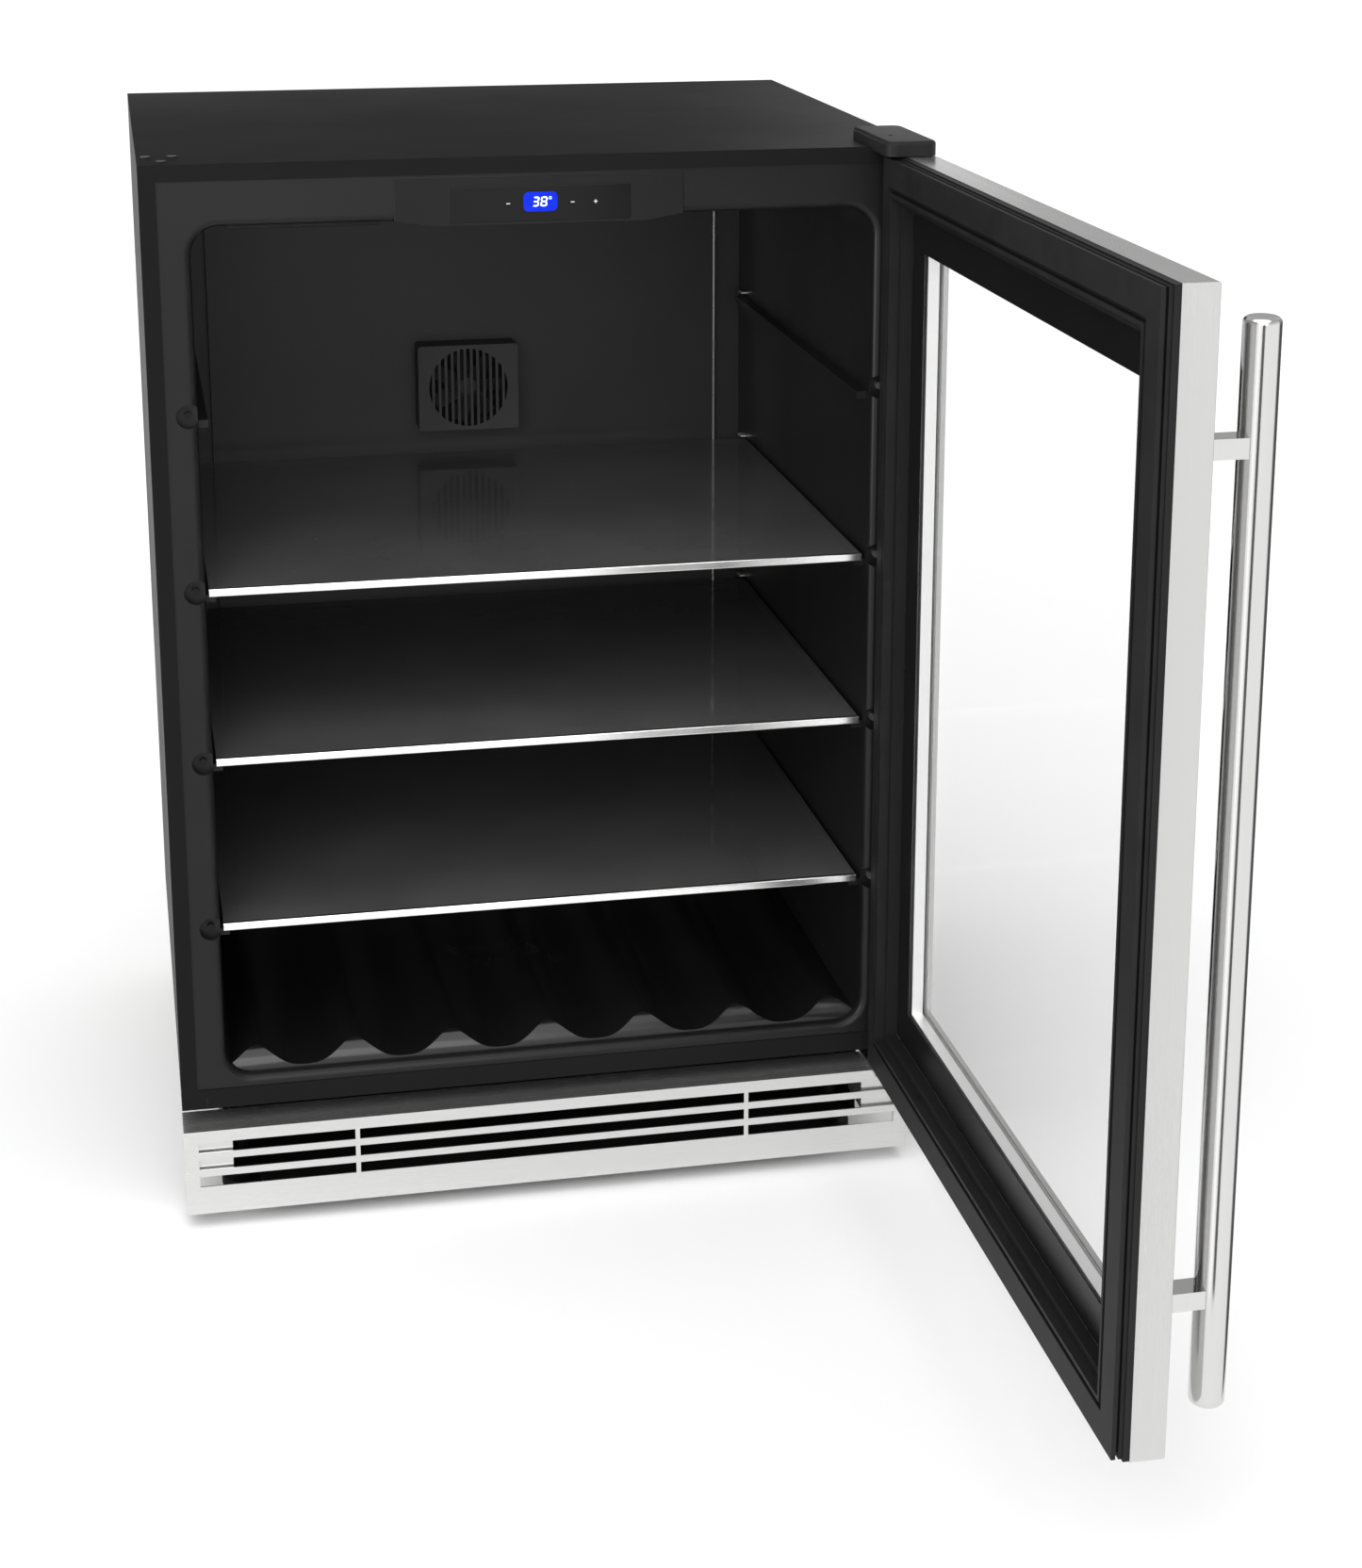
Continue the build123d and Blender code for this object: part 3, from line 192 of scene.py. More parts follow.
# ---------------------------------------------------------------- materials
def black_plastic(name, level, roughness, grain, grain_size, specular):
    """Moulded black plastic: fine grain with small pits, and slow unevenness in tone and gloss."""
    t = Tree(name)
    slow = t.noise(scale=7.0, detail=4.0, roughness=0.6)
    fine = t.noise(scale=grain_size, detail=2.0, roughness=0.6)
    pits = t.cells(scale=grain_size * 0.6)
    colour = t.two_tone(slow, grey(level * 0.86), grey(level * 1.12, tint=(1.0, 1.0, 1.01)))
    gloss = t.uneven(slow, roughness - 0.05, roughness + 0.07)
    normal = t.bump(fine, strength=grain, depth=0.12 * MM)
    normal = t.bump(pits, strength=grain * 0.6, depth=0.08 * MM, under=normal)
    return t.set(Base_Color=colour, Roughness=gloss, Specular_IOR_Level=specular, Normal=normal)


def liner_plastic(name):
    """Thermoformed liner: satin black with fine grain, and a painted fill light that makes it
    greyer towards the back, against the shade deep inside.
    """
    t = Tree(name)
    slow = t.noise(scale=7.0, detail=4.0, roughness=0.6)
    fine = t.noise(scale=1500.0, detail=2.0, roughness=0.6)
    front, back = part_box("inner_liner")[0].y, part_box("inner_liner")[1].y
    # Painted light: the colour ramp by depth lightens the liner deep in the cavity, where it is
    # shaded, and leaves the front darkest.
    depth = t.to_range(t.axes(t.place)["Y"], 0.0, 1.0, from_low=front + 10 * MM, from_high=back)
    base = t.colours(depth, (0.0, grey(0.0085)), (0.25, grey(0.017)), (1.0, grey(0.030)))
    mottle_and_painted_fill = t.nodes.new("ShaderNodeMixRGB")
    mottle_and_painted_fill.blend_type = "MULTIPLY"
    mottle_and_painted_fill.inputs["Fac"].default_value = 1.0
    t.links.new(base, mottle_and_painted_fill.inputs["Color1"])
    t.links.new(t.two_tone(slow, grey(0.88), grey(1.1)), mottle_and_painted_fill.inputs["Color2"])
    return t.set(
        Base_Color=mottle_and_painted_fill.outputs["Color"], Roughness=t.uneven(slow, 0.30, 0.40),
        Specular_IOR_Level=0.2, Normal=t.bump(fine, strength=0.08, depth=0.12 * MM),
    )


def pin_metal(name):
    """Shelf pins: bright zinc, with the pins at the front of the left wall painted flat black as
    painted shade.
    """
    t = Tree(name)
    place = t.axes(t.place)
    low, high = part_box("shelf_pins")
    # Painted shade: the mask below turns the pins at the front of the left wall black and
    # non-metallic.
    left = t.maths("LESS_THAN", place["X"], (low.x + high.x) / 2)
    front = t.maths("LESS_THAN", place["Y"], (low.y + high.y) / 2)
    black = t.maths("MULTIPLY", left, front)
    slow = t.noise(scale=200.0)
    return t.set(
        Base_Color=t.colours(black, (0.0, grey(0.62)), (1.0, grey(0.01))),
        Metallic=t.maths("SUBTRACT", 1.0, black), Roughness=t.to_range(slow, 0.25, 0.4),
        Specular_IOR_Level=0.08, Normal=t.bump(slow, strength=0.1, depth=0.1 * MM),
    )


def painted_steel(name, level, roughness, specular):
    """Black baked paint with orange peel."""
    t = Tree(name)
    slow = t.noise(scale=4.0, detail=5.0, roughness=0.55)
    peel = t.noise(scale=420.0, detail=1.0, roughness=0.4)
    light = grey(level * 1.1, tint=(1.0, 1.0, 1.02))
    return t.set(
        Base_Color=t.two_tone(slow, grey(level * 0.9), light, high=0.75),
        Roughness=t.uneven(slow, roughness - 0.04, roughness + 0.06),
        Specular_IOR_Level=specular, Normal=t.bump(peel, strength=0.25, depth=0.2 * MM),
    )


def brushed_steel(name, along, level, roughness, metallic=1.0):
    """Stainless sheet with fine scratches along one axis, and a slow change of gloss across it.
    The door's top edge lies along Y, and on an upright sheet's level faces so do the scratches."""
    t = Tree(name)
    fine = [14000.0, 14000.0, 14000.0]
    coarse = [1500.0, 1500.0, 1500.0]
    fine[along] = 30.0
    coarse[along] = 6.0
    hair = t.noise(scale=1.0, detail=2.0, roughness=0.7, vector=t.stretched(fine))
    streak = t.noise(scale=1.0, detail=3.0, roughness=0.6, vector=t.stretched(coarse))
    slow = t.noise(scale=3.0, detail=2.0, roughness=0.5)
    mixed = t.maths("ADD", t.maths("MULTIPLY", hair, 0.5), t.maths("MULTIPLY", streak, 0.5))
    if along == UPRIGHT:
        along_y = t.stretched((3000.0, 12.0, 3000.0))
        edge = t.noise(scale=1.0, detail=3.0, roughness=0.6, vector=along_y)
        facing_up = t.maths("ABSOLUTE", t.axes(t.coordinates["Normal"])["Z"])
        level_face = t.maths("GREATER_THAN", facing_up, 0.7)
        kept = t.maths("MULTIPLY", mixed, t.maths("SUBTRACT", 1.0, level_face))
        mixed = t.maths("ADD", kept, t.maths("MULTIPLY", edge, level_face))
    dark = grey(level * 0.97, tint=(1.0, 1.0, 0.995))
    light = grey(level * 1.03, tint=(1.0, 0.995, 0.985))
    scratch_gloss = t.to_range(mixed, -0.02, 0.03, from_low=0.3, from_high=0.7)
    sheet_gloss = t.to_range(slow, roughness - 0.03, roughness + 0.03)
    return t.set(
        Base_Color=t.two_tone(mixed, dark, light), Metallic=metallic,
        Roughness=t.maths("ADD", scratch_gloss, sheet_gloss), Anisotropic=0.35,
        Normal=t.bump(mixed, strength=0.012, depth=0.03 * MM),
    )


def smooth_metal(name, colour, roughness, stain=0.15, stain_size=60.0):
    """Plated or drawn metal with faint stains."""
    t = Tree(name)
    slow = t.noise(scale=stain_size, detail=4.0, roughness=0.6)
    gloss = t.to_range(slow, roughness + 0.08, roughness - 0.04, from_low=0.3, from_high=0.7)
    return t.set(
        Base_Color=t.two_tone(slow, scaled(colour, 1 - stain), colour, low=0.35, high=0.65),
        Metallic=1.0, Roughness=gloss, Normal=t.bump(slow, strength=0.1, depth=0.1 * MM),
    )


def galvanised_steel(name):
    """Zinc-coated sheet: the spangle's crystals differ in tone and gloss."""
    t = Tree(name)
    crystal_size = 75.0
    split = t.nodes.new("ShaderNodeSeparateColor")
    t.links.new(t.cells(crystal_size, output="Color"), split.inputs["Color"])
    dark, light = (0.36, 0.37, 0.385), (0.52, 0.53, 0.545)
    edges = t.cells(crystal_size, feature="DISTANCE_TO_EDGE")
    return t.set(
        Base_Color=t.colours(split.outputs["Red"], (0.0, dark), (1.0, light)), Metallic=0.85,
        Roughness=t.to_range(split.outputs["Green"], 0.34, 0.56),
        Normal=t.bump(edges, strength=0.08, depth=0.4 * MM),
    )


def rubber(name, level):
    """Soft black vinyl or rubber with a dull bloom."""
    t = Tree(name)
    slow = t.noise(scale=30.0, detail=4.0, roughness=0.6)
    fine = t.noise(scale=1800.0, detail=2.0, roughness=0.5)
    return t.set(
        Base_Color=t.two_tone(slow, grey(level * 0.85), grey(level * 1.2)),
        Roughness=t.to_range(slow, 0.5, 0.66), Specular_IOR_Level=0.14,
        Normal=t.bump(fine, strength=0.2, depth=0.1 * MM),
    )


def glass(name, tint, mirror, body=0.0, level=0.03):
    """Pane that lets the view straight through, tinted, and reflects more at a shallow angle.
    mirror scales the reflection. body is the share of the view that the pane's own grey hides."""
    t = Tree(name)
    smear = t.noise(scale=9.0, detail=4.0, roughness=0.6)
    t.set(
        Base_Color=t.two_tone(smear, grey(level * 0.85), grey(level * 1.15)),
        Roughness=t.to_range(smear, 0.04, 0.10), Specular_IOR_Level=0.5,
    )
    facing = t.nodes.new("ShaderNodeFresnel")
    facing.inputs["IOR"].default_value = 1.45
    reflected = t.maths("MULTIPLY", facing.outputs["Fac"], mirror)
    return t.let_through(t.maths("ADD", reflected, body), tint)


def glowing(name, colour, strength, spread=0.25):
    """Lit surface, a little uneven from the lamp behind it."""
    t = Tree(name)
    slow = t.noise(scale=120.0, detail=2.0, roughness=0.5)
    return t.set(
        Base_Color=(*grey(0.002), 1.0), Roughness=0.15, Specular_IOR_Level=0.1,
        Emission_Color=t.two_tone(slow, scaled(colour, 1 - spread), colour),
        Emission_Strength=strength, Normal=t.bump(slow, strength=0.05, depth=0.1 * MM),
    )


def rigid_foam(name, dark, pale):
    """Rigid foam with small cells."""
    t = Tree(name)
    return t.set(
        Base_Color=t.two_tone(t.noise(scale=12.0), dark, pale), Roughness=0.9,
        Normal=t.bump(t.cells(scale=700.0), strength=0.5, depth=0.6 * MM),
    )


def circuit_board(name):
    """Green circuit board with tracks."""
    t = Tree(name)
    tracks = t.nodes.new("ShaderNodeTexBrick")
    t.links.new(t.place, tracks.inputs["Vector"])
    tracks.inputs["Scale"].default_value = 260.0
    tracks.inputs["Color1"].default_value = (0.015, 0.13, 0.05, 1.0)
    tracks.inputs["Color2"].default_value = (0.02, 0.17, 0.07, 1.0)
    tracks.inputs["Mortar"].default_value = (0.10, 0.34, 0.14, 1.0)
    tracks.inputs["Mortar Size"].default_value = 0.06
    return t.set(
        Base_Color=tracks.outputs["Color"], Roughness=0.35,
        Normal=t.bump(tracks.outputs["Fac"], strength=0.2, depth=0.1 * MM),
    )


def light_lens(name):
    """Ribbed lens over the interior light, made near black as painted shade for the dark slot
    under the lip.
    """
    t = Tree(name)
    rib = t.nodes.new("ShaderNodeTexWave")
    t.links.new(t.place, rib.inputs["Vector"])
    rib.inputs["Scale"].default_value = 180.0
    return t.set(
        # Painted shade: the near-black colour stands in for the shade of the slot that the lens
        # sits in.
        Base_Color=t.two_tone(t.noise(scale=20.0), grey(0.004), grey(0.006)),
        Roughness=0.35, Specular_IOR_Level=0.15,
        Normal=t.bump(rib.outputs["Fac"], strength=0.3, depth=0.3 * MM),
    )


def nylon(name, colour):
    """Plain moulded nylon, or ink, with a faint mottle."""
    t = Tree(name)
    return t.set(
        Base_Color=t.two_tone(t.noise(scale=25.0), scaled(colour, 0.9), colour),
        Roughness=0.42, Subsurface_Weight=0.05,
        Normal=t.bump(t.noise(scale=900.0), strength=0.1, depth=0.1 * MM),
    )


def floor_material():
    """Pale studio floor."""
    t = Tree("studio_floor")
    colour = t.two_tone(t.noise(scale=0.6), grey(0.90), grey(0.93))
    return t.set(Base_Color=colour, Roughness=0.85, Specular_IOR_Level=0.1)


PAINT = painted_steel("paint_black", level=0.0095, roughness=0.42, specular=0.035)
COATED = painted_steel("coated_coil", level=0.010, roughness=0.5, specular=0.1)
MOTOR = painted_steel("compressor_paint", level=0.016, roughness=0.30, specular=0.4)
LINER = liner_plastic("liner_plastic")
HEADER = black_plastic(
    "header_plastic", level=0.0105, roughness=0.40, grain=0.10, grain_size=1500.0, specular=0.12)
BLADE = black_plastic(
    "fan_plastic", level=0.03, roughness=0.4, grain=0.1, grain_size=900.0, specular=0.2)
GRAINED = black_plastic(
    "grained_plastic", level=0.013, roughness=0.46, grain=0.2, grain_size=900.0, specular=0.12)
GLOSSY = black_plastic(
    "glossy_plastic", level=0.006, roughness=0.16, grain=0.02, grain_size=1500.0, specular=0.16)
RIBBED = black_plastic(
    "ribbed_plastic", level=0.007, roughness=0.22, grain=0.02, grain_size=1500.0, specular=0.5)
ENAMEL = black_plastic(
    "black_enamel", level=0.008, roughness=0.30, grain=0.02, grain_size=1800.0, specular=0.12)
HOUSING = black_plastic(
    "housing_plastic", level=0.052, roughness=0.46, grain=0.15, grain_size=900.0, specular=0.12)
PLUG = black_plastic(
    "plug_plastic", level=0.016, roughness=0.15, grain=0.02, grain_size=1500.0, specular=0.6)
RUBBER = rubber("gasket_rubber", level=0.012)
STEEL_UP = brushed_steel(
    "stainless_upright", UPRIGHT, level=0.58, roughness=0.26, metallic=0.94)
STEEL_ACROSS = brushed_steel(
    "stainless_across", ACROSS, level=0.66, roughness=0.26, metallic=0.9)
TRIM = brushed_steel("bright_trim", ACROSS, level=0.92, roughness=0.16)
HANDLE = brushed_steel("handle_steel", UPRIGHT, level=0.64, roughness=0.10)
ZINC = smooth_metal("zinc_plate", (0.62, 0.62, 0.60), roughness=0.26)
COPPER = smooth_metal(
    "copper_tube", (0.80, 0.42, 0.26), roughness=0.24, stain=0.35, stain_size=45.0)
SPACER = smooth_metal(
    "spacer_strip", (0.97, 0.97, 0.97), roughness=0.45, stain=0.04, stain_size=40.0)
PINS = pin_metal("shelf_pin_finish")
GALVANISED = galvanised_steel("galvanised_sheet")
SMOKED = glass("smoked_glass", tint=(0.42, 0.42, 0.42), mirror=0.3, body=0.6, level=0.125)
CLEAR = glass("clear_glass", tint=(0.997, 0.998, 0.997), mirror=0.05)
DISPLAY = glowing("display_blue", (0.0, 0.030, 1.0), strength=1.1)
DIGITS = glowing("digit_white", (0.75, 0.85, 1.0), strength=2.4, spread=0.1)
LENS = light_lens("light_lens")
MARKS = nylon("printed_white", (0.75, 0.75, 0.75))
WHITE = nylon("white_nylon", (0.78, 0.77, 0.72))
MAGNET = nylon("magnet_strip", (0.10, 0.07, 0.05))
BOARD = circuit_board("circuit_board")
FOAM = rigid_foam("rigid_foam", dark=(0.62, 0.52, 0.30), pale=(0.74, 0.66, 0.42))
BEADBOARD = rigid_foam("door_foam", dark=(0.80, 0.80, 0.79), pale=(0.88, 0.88, 0.87))

FINISHES = {
    # Cabinet, outside
    "outer_wrapper": PAINT, "rear_panel": GALVANISED, "machine_cover": GALVANISED,
    "cord_inlet": GRAINED, "base_pan": PAINT, "base_frame": PAINT, "hole_plugs": PLUG,
    "kick_plate": STEEL_ACROSS, "kick_plate_brackets": STEEL_ACROSS, "foam_insulation": FOAM,
    # Machine compartment
    "compressor": MOTOR, "compressor_mounts": RUBBER, "start_relay": GRAINED,
    "condenser": MOTOR, "condenser_fan_shroud": GRAINED, "condenser_fan_motor": ZINC,
    "condenser_fan_blade": BLADE, "filter_drier": COPPER, "refrigerant_tubing": COPPER,
    "drain_pan": GRAINED, "drain_tube": WHITE,
    # Cavity
    "inner_liner": LINER, "evaporator_plate": COATED, "evaporator_cover": LINER,
    "fan_housing": HOUSING, "evaporator_fan_motor": COATED, "evaporator_fan_blade": BLADE,
    "shelf_pins": PINS, "floor_insert": RIBBED, "interior_light": LENS,
    # Controls
    "control_housing": HEADER, "control_panel": GLOSSY, "control_board": BOARD,
    "display_window": DISPLAY,
    # Hinges
    "top_hinge_plate": PAINT, "hinge_screws": ZINC, "top_hinge_cover": GRAINED,
    "bottom_hinge_bracket": ZINC, "hinge_pins": ZINC,
    # Door
    "door_outer_frame": STEEL_UP, "door_core": BEADBOARD, "door_inner_frame": GRAINED,
    "door_gasket": RUBBER, "gasket_magnet": MAGNET, "door_panes": CLEAR,
    "glass_spacer": SPACER, "door_bushings": GRAINED, "handle_tube": HANDLE,
    "handle_posts": HANDLE, "handle_screws": ZINC,
}
for side in ("top", "middle", "bottom"):
    FINISHES[f"shelf_glass_{side}"] = SMOKED
    FINISHES[f"shelf_trim_{side}"] = TRIM
for leg in ("front_left", "front_right", "rear_left", "rear_right"):
    FINISHES[f"leg_{leg}"] = PAINT

for name, node in NODES.items():
    node.data.materials.clear()
    node.data.materials.append(FINISHES[name])


# ---------------------------------------------------------------- small pieces
def prism(bm, outline, depth, place):
    """Closed prism of an outline in its own u, v plane. place(u, v, w) gives the point, with w
    from 0 to depth."""
    near = [bm.verts.new(place(u, v, 0.0)) for u, v in outline]
    far = [bm.verts.new(place(u, v, depth)) for u, v in outline]
    bm.faces.new(near)
    bm.faces.new(list(reversed(far)))
    count = len(outline)
    for i in range(count):
        j = (i + 1) % count
        bm.faces.new((near[i], far[i], far[j], near[j]))


def add_piece(name, bm, material, body):
    """Turns a bmesh into a piece that rides on a body and takes its finish from a slot."""
    bmesh.ops.recalc_face_normals(bm, faces=bm.faces)
    mesh = bpy.data.meshes.new(name)
    bm.to_mesh(mesh)
    bm.free()
    mesh.materials.append(material)
    piece = bpy.data.objects.new(name, mesh)
    bpy.context.scene.collection.objects.link(piece)
    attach(piece, body)


# The bars of a seven-segment figure, a to f clockwise from the top, g in the middle.
SEGMENTS = {"0": "abcdef", "3": "abgcd", "8": "abcdefg"}
SHOWN = "38"
FIGURE_HIGH, FIGURE_WIDE, FIGURE_BAR = 7.6 * MM, 4.0 * MM, 1.15 * MM
FIGURE_LEFT, FIGURE_PITCH, FIGURE_SLANT = -5.6 * MM, 6.4 * MM, 0.12
DEGREE_LEFT, DEGREE_BOTTOM = 7.0 * MM, 1.6 * MM
DEGREE_HIGH, DEGREE_WIDE, DEGREE_BAR = 2.2 * MM, 1.5 * MM, 0.5 * MM
FIGURE_THICK, MARK_THICK = 0.15 * MM, 0.1 * MM


def segment_outlines(figure, left, bottom, width, height, thick):
    """Outlines of the lit bars of one seven-segment figure, with pointed ends."""
    middle = bottom + height / 2
    gap = thick * 0.22
    half = thick / 2
    rows = {"a": bottom + height - half, "g": middle, "d": bottom + half}
    columns = {
        "f": (left, middle, bottom + height), "b": (left + width, middle, bottom + height),
        "e": (left, bottom, middle), "c": (left + width, bottom, middle),
    }
    outlines = []
    for bar in SEGMENTS[figure]:
        if bar in rows:
            z = rows[bar]
            x0, x1 = left + half + gap, left + width - half - gap
            outlines.append([
                (x0 - half, z), (x0, z + half), (x1, z + half),
                (x1 + half, z), (x1, z - half), (x0, z - half),
            ])
        else:
            x, z0, z1 = columns[bar]
            z0, z1 = z0 + half + gap, z1 - half - gap
            outlines.append([
                (x, z0 - half), (x + half, z0), (x + half, z1),
                (x, z1 + half), (x - half, z1), (x - half, z0),
            ])
    return outlines


def display_figures():
    """Lit figures and a degree sign on the face of the display."""
    low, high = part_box("display_window")
    centre_x, centre_z = (low.x + high.x) / 2, (low.z + high.z) / 2
    outlines = []
    for i, figure in enumerate(SHOWN):
        left = centre_x + FIGURE_LEFT + i * FIGURE_PITCH
        for outline in segment_outlines(
                figure, left, -FIGURE_HIGH / 2, FIGURE_WIDE, FIGURE_HIGH, FIGURE_BAR):
            outlines.append([(u + v * FIGURE_SLANT, v) for u, v in outline])
    outlines += segment_outlines(
        "0", centre_x + DEGREE_LEFT, DEGREE_BOTTOM, DEGREE_WIDE, DEGREE_HIGH, DEGREE_BAR)
    bm = bmesh.new()
    for outline in outlines:
        prism(bm, outline, FIGURE_THICK, lambda u, v, w: (u, low.y - w, centre_z + v))
    add_piece("display_figures", bm, DIGITS, "cabinet")


def touch_marks():
    """Printed minus and plus marks beside the display."""
    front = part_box("control_panel")[0].y
    shown_low, shown_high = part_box("display_window")
    centre_x = (shown_low.x + shown_high.x) / 2
    centre_z = (shown_low.z + shown_high.z) / 2 - 1.0 * MM
    h, t = 3.0 * MM / 2, 0.7 * MM / 2
    minus = [(-h, -t), (h, -t), (h, t), (-h, t)]
    plus = [(-h, -t), (-t, -t), (-t, -h), (t, -h), (t, -t), (h, -t),
            (h, t), (t, t), (t, h), (-t, h), (-t, t), (-h, t)]
    bm = bmesh.new()
    for offset, outline in ((-25 * MM, minus), (25 * MM, minus), (43 * MM, plus)):
        x = centre_x + offset
        prism(bm, outline, MARK_THICK, lambda u, v, w, x=x: (x + u, front - w, centre_z + v))
    add_piece("touch_marks", bm, MARKS, "cabinet")


def glass_border():
    """Black enamel band round the inner pane, from near its edge to the edge of the window."""
    low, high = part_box("door_panes")
    spacer_low, spacer_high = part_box("glass_spacer")
    margin, window, thick = 4.5 * MM, 8 * MM, 0.2 * MM

    def corners(first, last, inset):
        y0, y1, z0, z1 = first.y + inset, last.y - inset, first.z + inset, last.z - inset
        return [(y0, z0), (y1, z0), (y1, z1), (y0, z1)]

    outer = corners(low, high, margin)
    inner = corners(spacer_low, spacer_high, window)
    face, back = low.x, low.x - thick
    bm = bmesh.new()
    rings = []
    for points, x in ((outer, face), (inner, face), (inner, back), (outer, back)):
        rings.append([bm.verts.new((x, y, z)) for y, z in points])
    for a in range(4):
        first, second = rings[a], rings[(a + 1) % 4]
        for i in range(4):
            j = (i + 1) % 4
            bm.faces.new((first[i], first[j], second[j], second[i]))
    add_piece("glass_border", bm, ENAMEL, "door")


def cover_edge_highlight():
    """Bright metal strip down the right-hand edge of the evaporator cover: a painted highlight
    that stands in for the line of light along that edge.
    """
    low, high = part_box("evaporator_cover")
    wide, thick = 1.6 * MM, 0.5 * MM
    left = high.x - wide
    outline = [(left, low.z), (high.x, low.z), (high.x, high.z), (left, high.z)]
    bm = bmesh.new()
    # Painted highlight: a thin zinc strip put where only a bright line of light falls.
    prism(bm, outline, thick, lambda u, v, w: (u, low.y - w, v))
    add_piece("cover_edge_highlight", bm, ZINC, "cabinet")


display_figures()
touch_marks()
glass_border()
cover_edge_highlight()


# ---------------------------------------------------------------- floor, light and camera
def quad_object(name, corners, material):
    """Object of one four-cornered face."""
    mesh = bpy.data.meshes.new(name)
    mesh.from_pydata(corners, [], [(0, 1, 2, 3)])
    mesh.materials.append(material)
    quad = bpy.data.objects.new(name, mesh)
    bpy.context.scene.collection.objects.link(quad)
    return quad


def floor():
    """Floor that reaches far past the camera's view, under the lowest point of the object."""
    half = 40.0
    corners = [(-half, -half, 0.0), (half, -half, 0.0), (half, half, 0.0), (-half, half, 0.0)]
    plane = quad_object("floor", corners, floor_material())
    plane.location.z = CAD_BOX[0].z


def sky():
    """Pale surroundings, white at the horizon and greyer overhead."""
    stops = ((0.0, grey(1.0)), (0.1, grey(1.0)), (0.5, grey(0.6)), (1.0, grey(0.5)))
    world = bpy.data.worlds.new("studio")
    bpy.context.scene.world = world
    world.use_nodes = True
    nodes, links = world.node_tree.nodes, world.node_tree.links
    background = nodes["Background"]
    direction = nodes.new("ShaderNodeTexCoord").outputs["Generated"]
    split = nodes.new("ShaderNodeSeparateXYZ")
    links.new(direction, split.inputs["Vector"])
    ramp = nodes.new("ShaderNodeValToRGB")
    links.new(split.outputs["Z"], ramp.inputs["Fac"])
    fill_ramp(ramp, stops)
    links.new(ramp.outputs["Color"], background.inputs["Color"])
    background.inputs["Strength"].default_value = 1.0


def add_lamp(name, kind, power):
    light = bpy.data.lights.new(name, kind)
    light.energy = power
    lamp = bpy.data.objects.new(name, light)
    bpy.context.scene.collection.objects.link(lamp)
    return lamp


def daylight(name, towards, power, spread):
    """Even light from one side of the sky, with shadows as soft as its spread in degrees."""
    lamp = add_lamp(name, "SUN", power)
    lamp.data.angle = math.radians(spread)
    lamp.rotation_euler = Vector(towards).to_track_quat("Z", "Y").to_euler()


def strip_light(name, location, target, width, height, power):
    """Narrow upright lamp that is seen only as a highlight in glossy surfaces."""
    lamp = add_lamp(name, "AREA", power)
    lamp.data.shape = "RECTANGLE"
    lamp.data.size = width
    lamp.data.size_y = height
    lamp.location = location
    aim = Vector(target) - Vector(location)
    lamp.rotation_euler = aim.to_track_quat("-Z", "Y").to_euler()
    lamp.visible_camera = False
    lamp.visible_diffuse = False
    lamp.visible_transmission = False


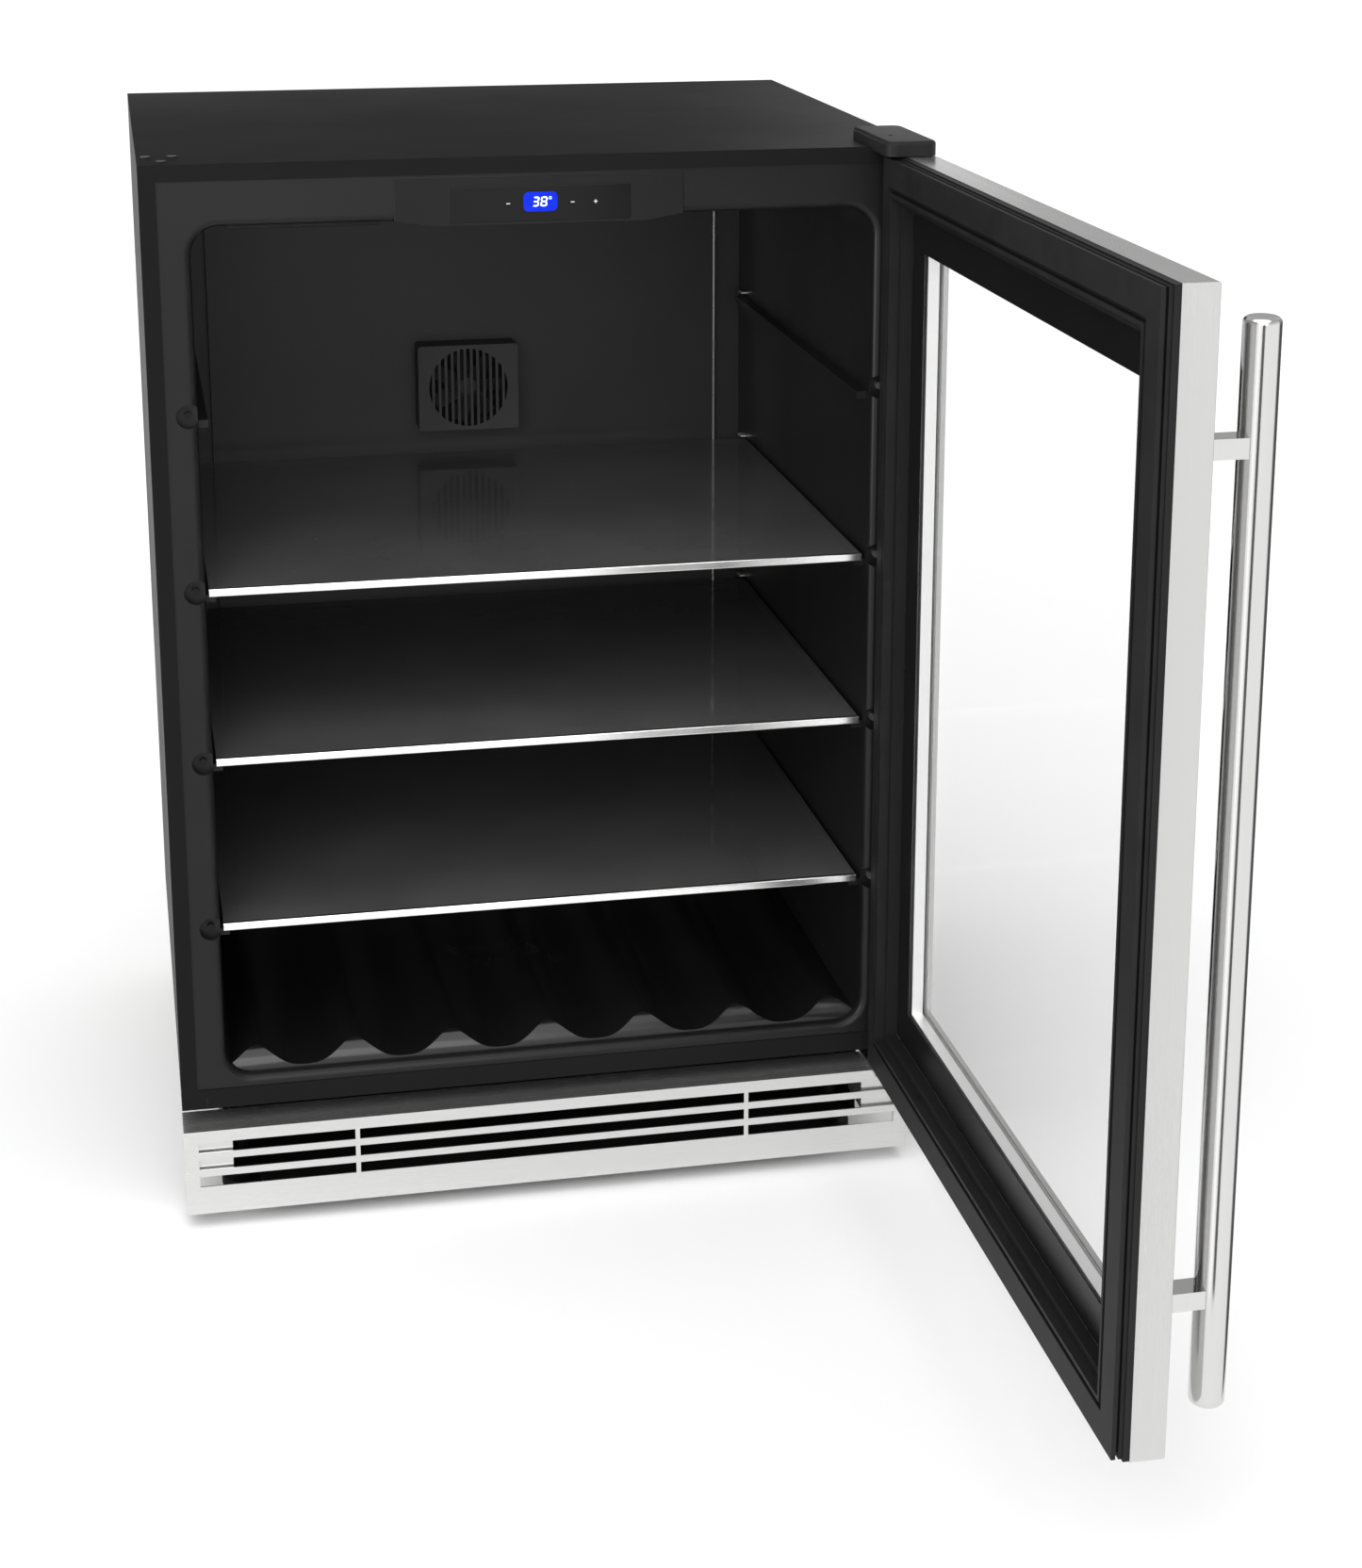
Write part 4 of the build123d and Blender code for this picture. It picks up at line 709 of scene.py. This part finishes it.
def flag(name, centre, across, up, level, soft=0.15):
    """Card that shows only in reflections, at a brightness of level. across and up are half its
    width and height, as vectors. soft is the share of each that fades away at either edge."""
    middle, across, up = Vector(centre), Vector(across), Vector(up)
    corners = [middle + a * across + b * up for a, b in ((-1, -1), (1, -1), (1, 1), (-1, 1))]
    t = Tree(name)
    t.set(
        Base_Color=(*grey(0.01), 1.0), Roughness=1.0, Specular_IOR_Level=0.0,
        Emission_Color=(*grey(1.0), 1.0), Emission_Strength=level,
    )
    place = t.axes(t.coordinates["Generated"])
    width_axis = "X" if abs(across.x) > abs(across.y) else "Y"
    fades = []
    for axis in (width_axis, "Z"):
        off_centre = t.maths("ABSOLUTE", t.maths("SUBTRACT", place[axis], 0.5))
        fades.append(t.to_range(off_centre, 1.0, 0.0, from_low=0.5 - soft, from_high=0.5))
    card = quad_object(name, corners, t.let_through(t.maths("MULTIPLY", *fades)))
    card.visible_camera = False
    card.visible_diffuse = False
    card.visible_transmission = False
    card.visible_shadow = False
    card.visible_volume_scatter = False


def camera():
    """Camera that looks a little down at the object, with a small shift to frame it."""
    data = bpy.data.cameras.new("camera")
    data.sensor_width = SENSOR_WIDTH
    data.lens = FOCAL_LENGTH
    data.shift_y = SHIFT_Y
    data.dof.use_dof = False
    data.clip_start, data.clip_end = CLIP_NEAR, CLIP_FAR
    eye = bpy.data.objects.new("camera", data)
    bpy.context.scene.collection.objects.link(eye)
    eye.location = EYE
    eye.rotation_euler = (math.pi / 2 - math.radians(PITCH), 0.0, -math.radians(YAW))
    bpy.context.scene.camera = eye


floor()
sky()
daylight("overhead", towards=(-0.25, -0.45, 1.0), power=1.95, spread=80.0)
daylight("frontal", towards=(-0.25, -1.0, 0.30), power=1.6, spread=50.0)

# Three cards stand round the handle's middle, and two behind the object face the camera.
handle_low, handle_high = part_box("handle_tube")
handle = (handle_low + handle_high) / 2
HANDLE_CARD_UP, BACK_CARD_UP = (0.0, 0.0, 0.62), (0.0, 0.0, 0.58)
for name, offset, across, level in (
    ("flag_side", (0.21, 0.13, -0.1), (0.02, 0.16, 0.0), 0.10),
    ("flag_front", (-0.073, -0.342, -0.1), (0.055, -0.012, 0.0), 0.13),
    ("flag_bright", (-0.204, -0.285, -0.1), (0.043, -0.031, 0.0), 1.5),
):
    flag(name, handle + Vector(offset), across, HANDLE_CARD_UP, level)
flag("flag_behind", (-0.25, 1.6, 1.5), (0.97, 0.0, 0.0), BACK_CARD_UP, level=0.01)
flag("flag_far", (1.42, 1.6, 1.5), (0.70, 0.0, 0.0), BACK_CARD_UP, level=0.42)
strip_light(
    "strip", location=(-1.6, -0.55, 0.62), target=(0.24, 0.05, 0.5),
    width=0.06, height=0.9, power=14.0)
camera()
bpy.context.scene.view_settings.view_transform = "Standard"
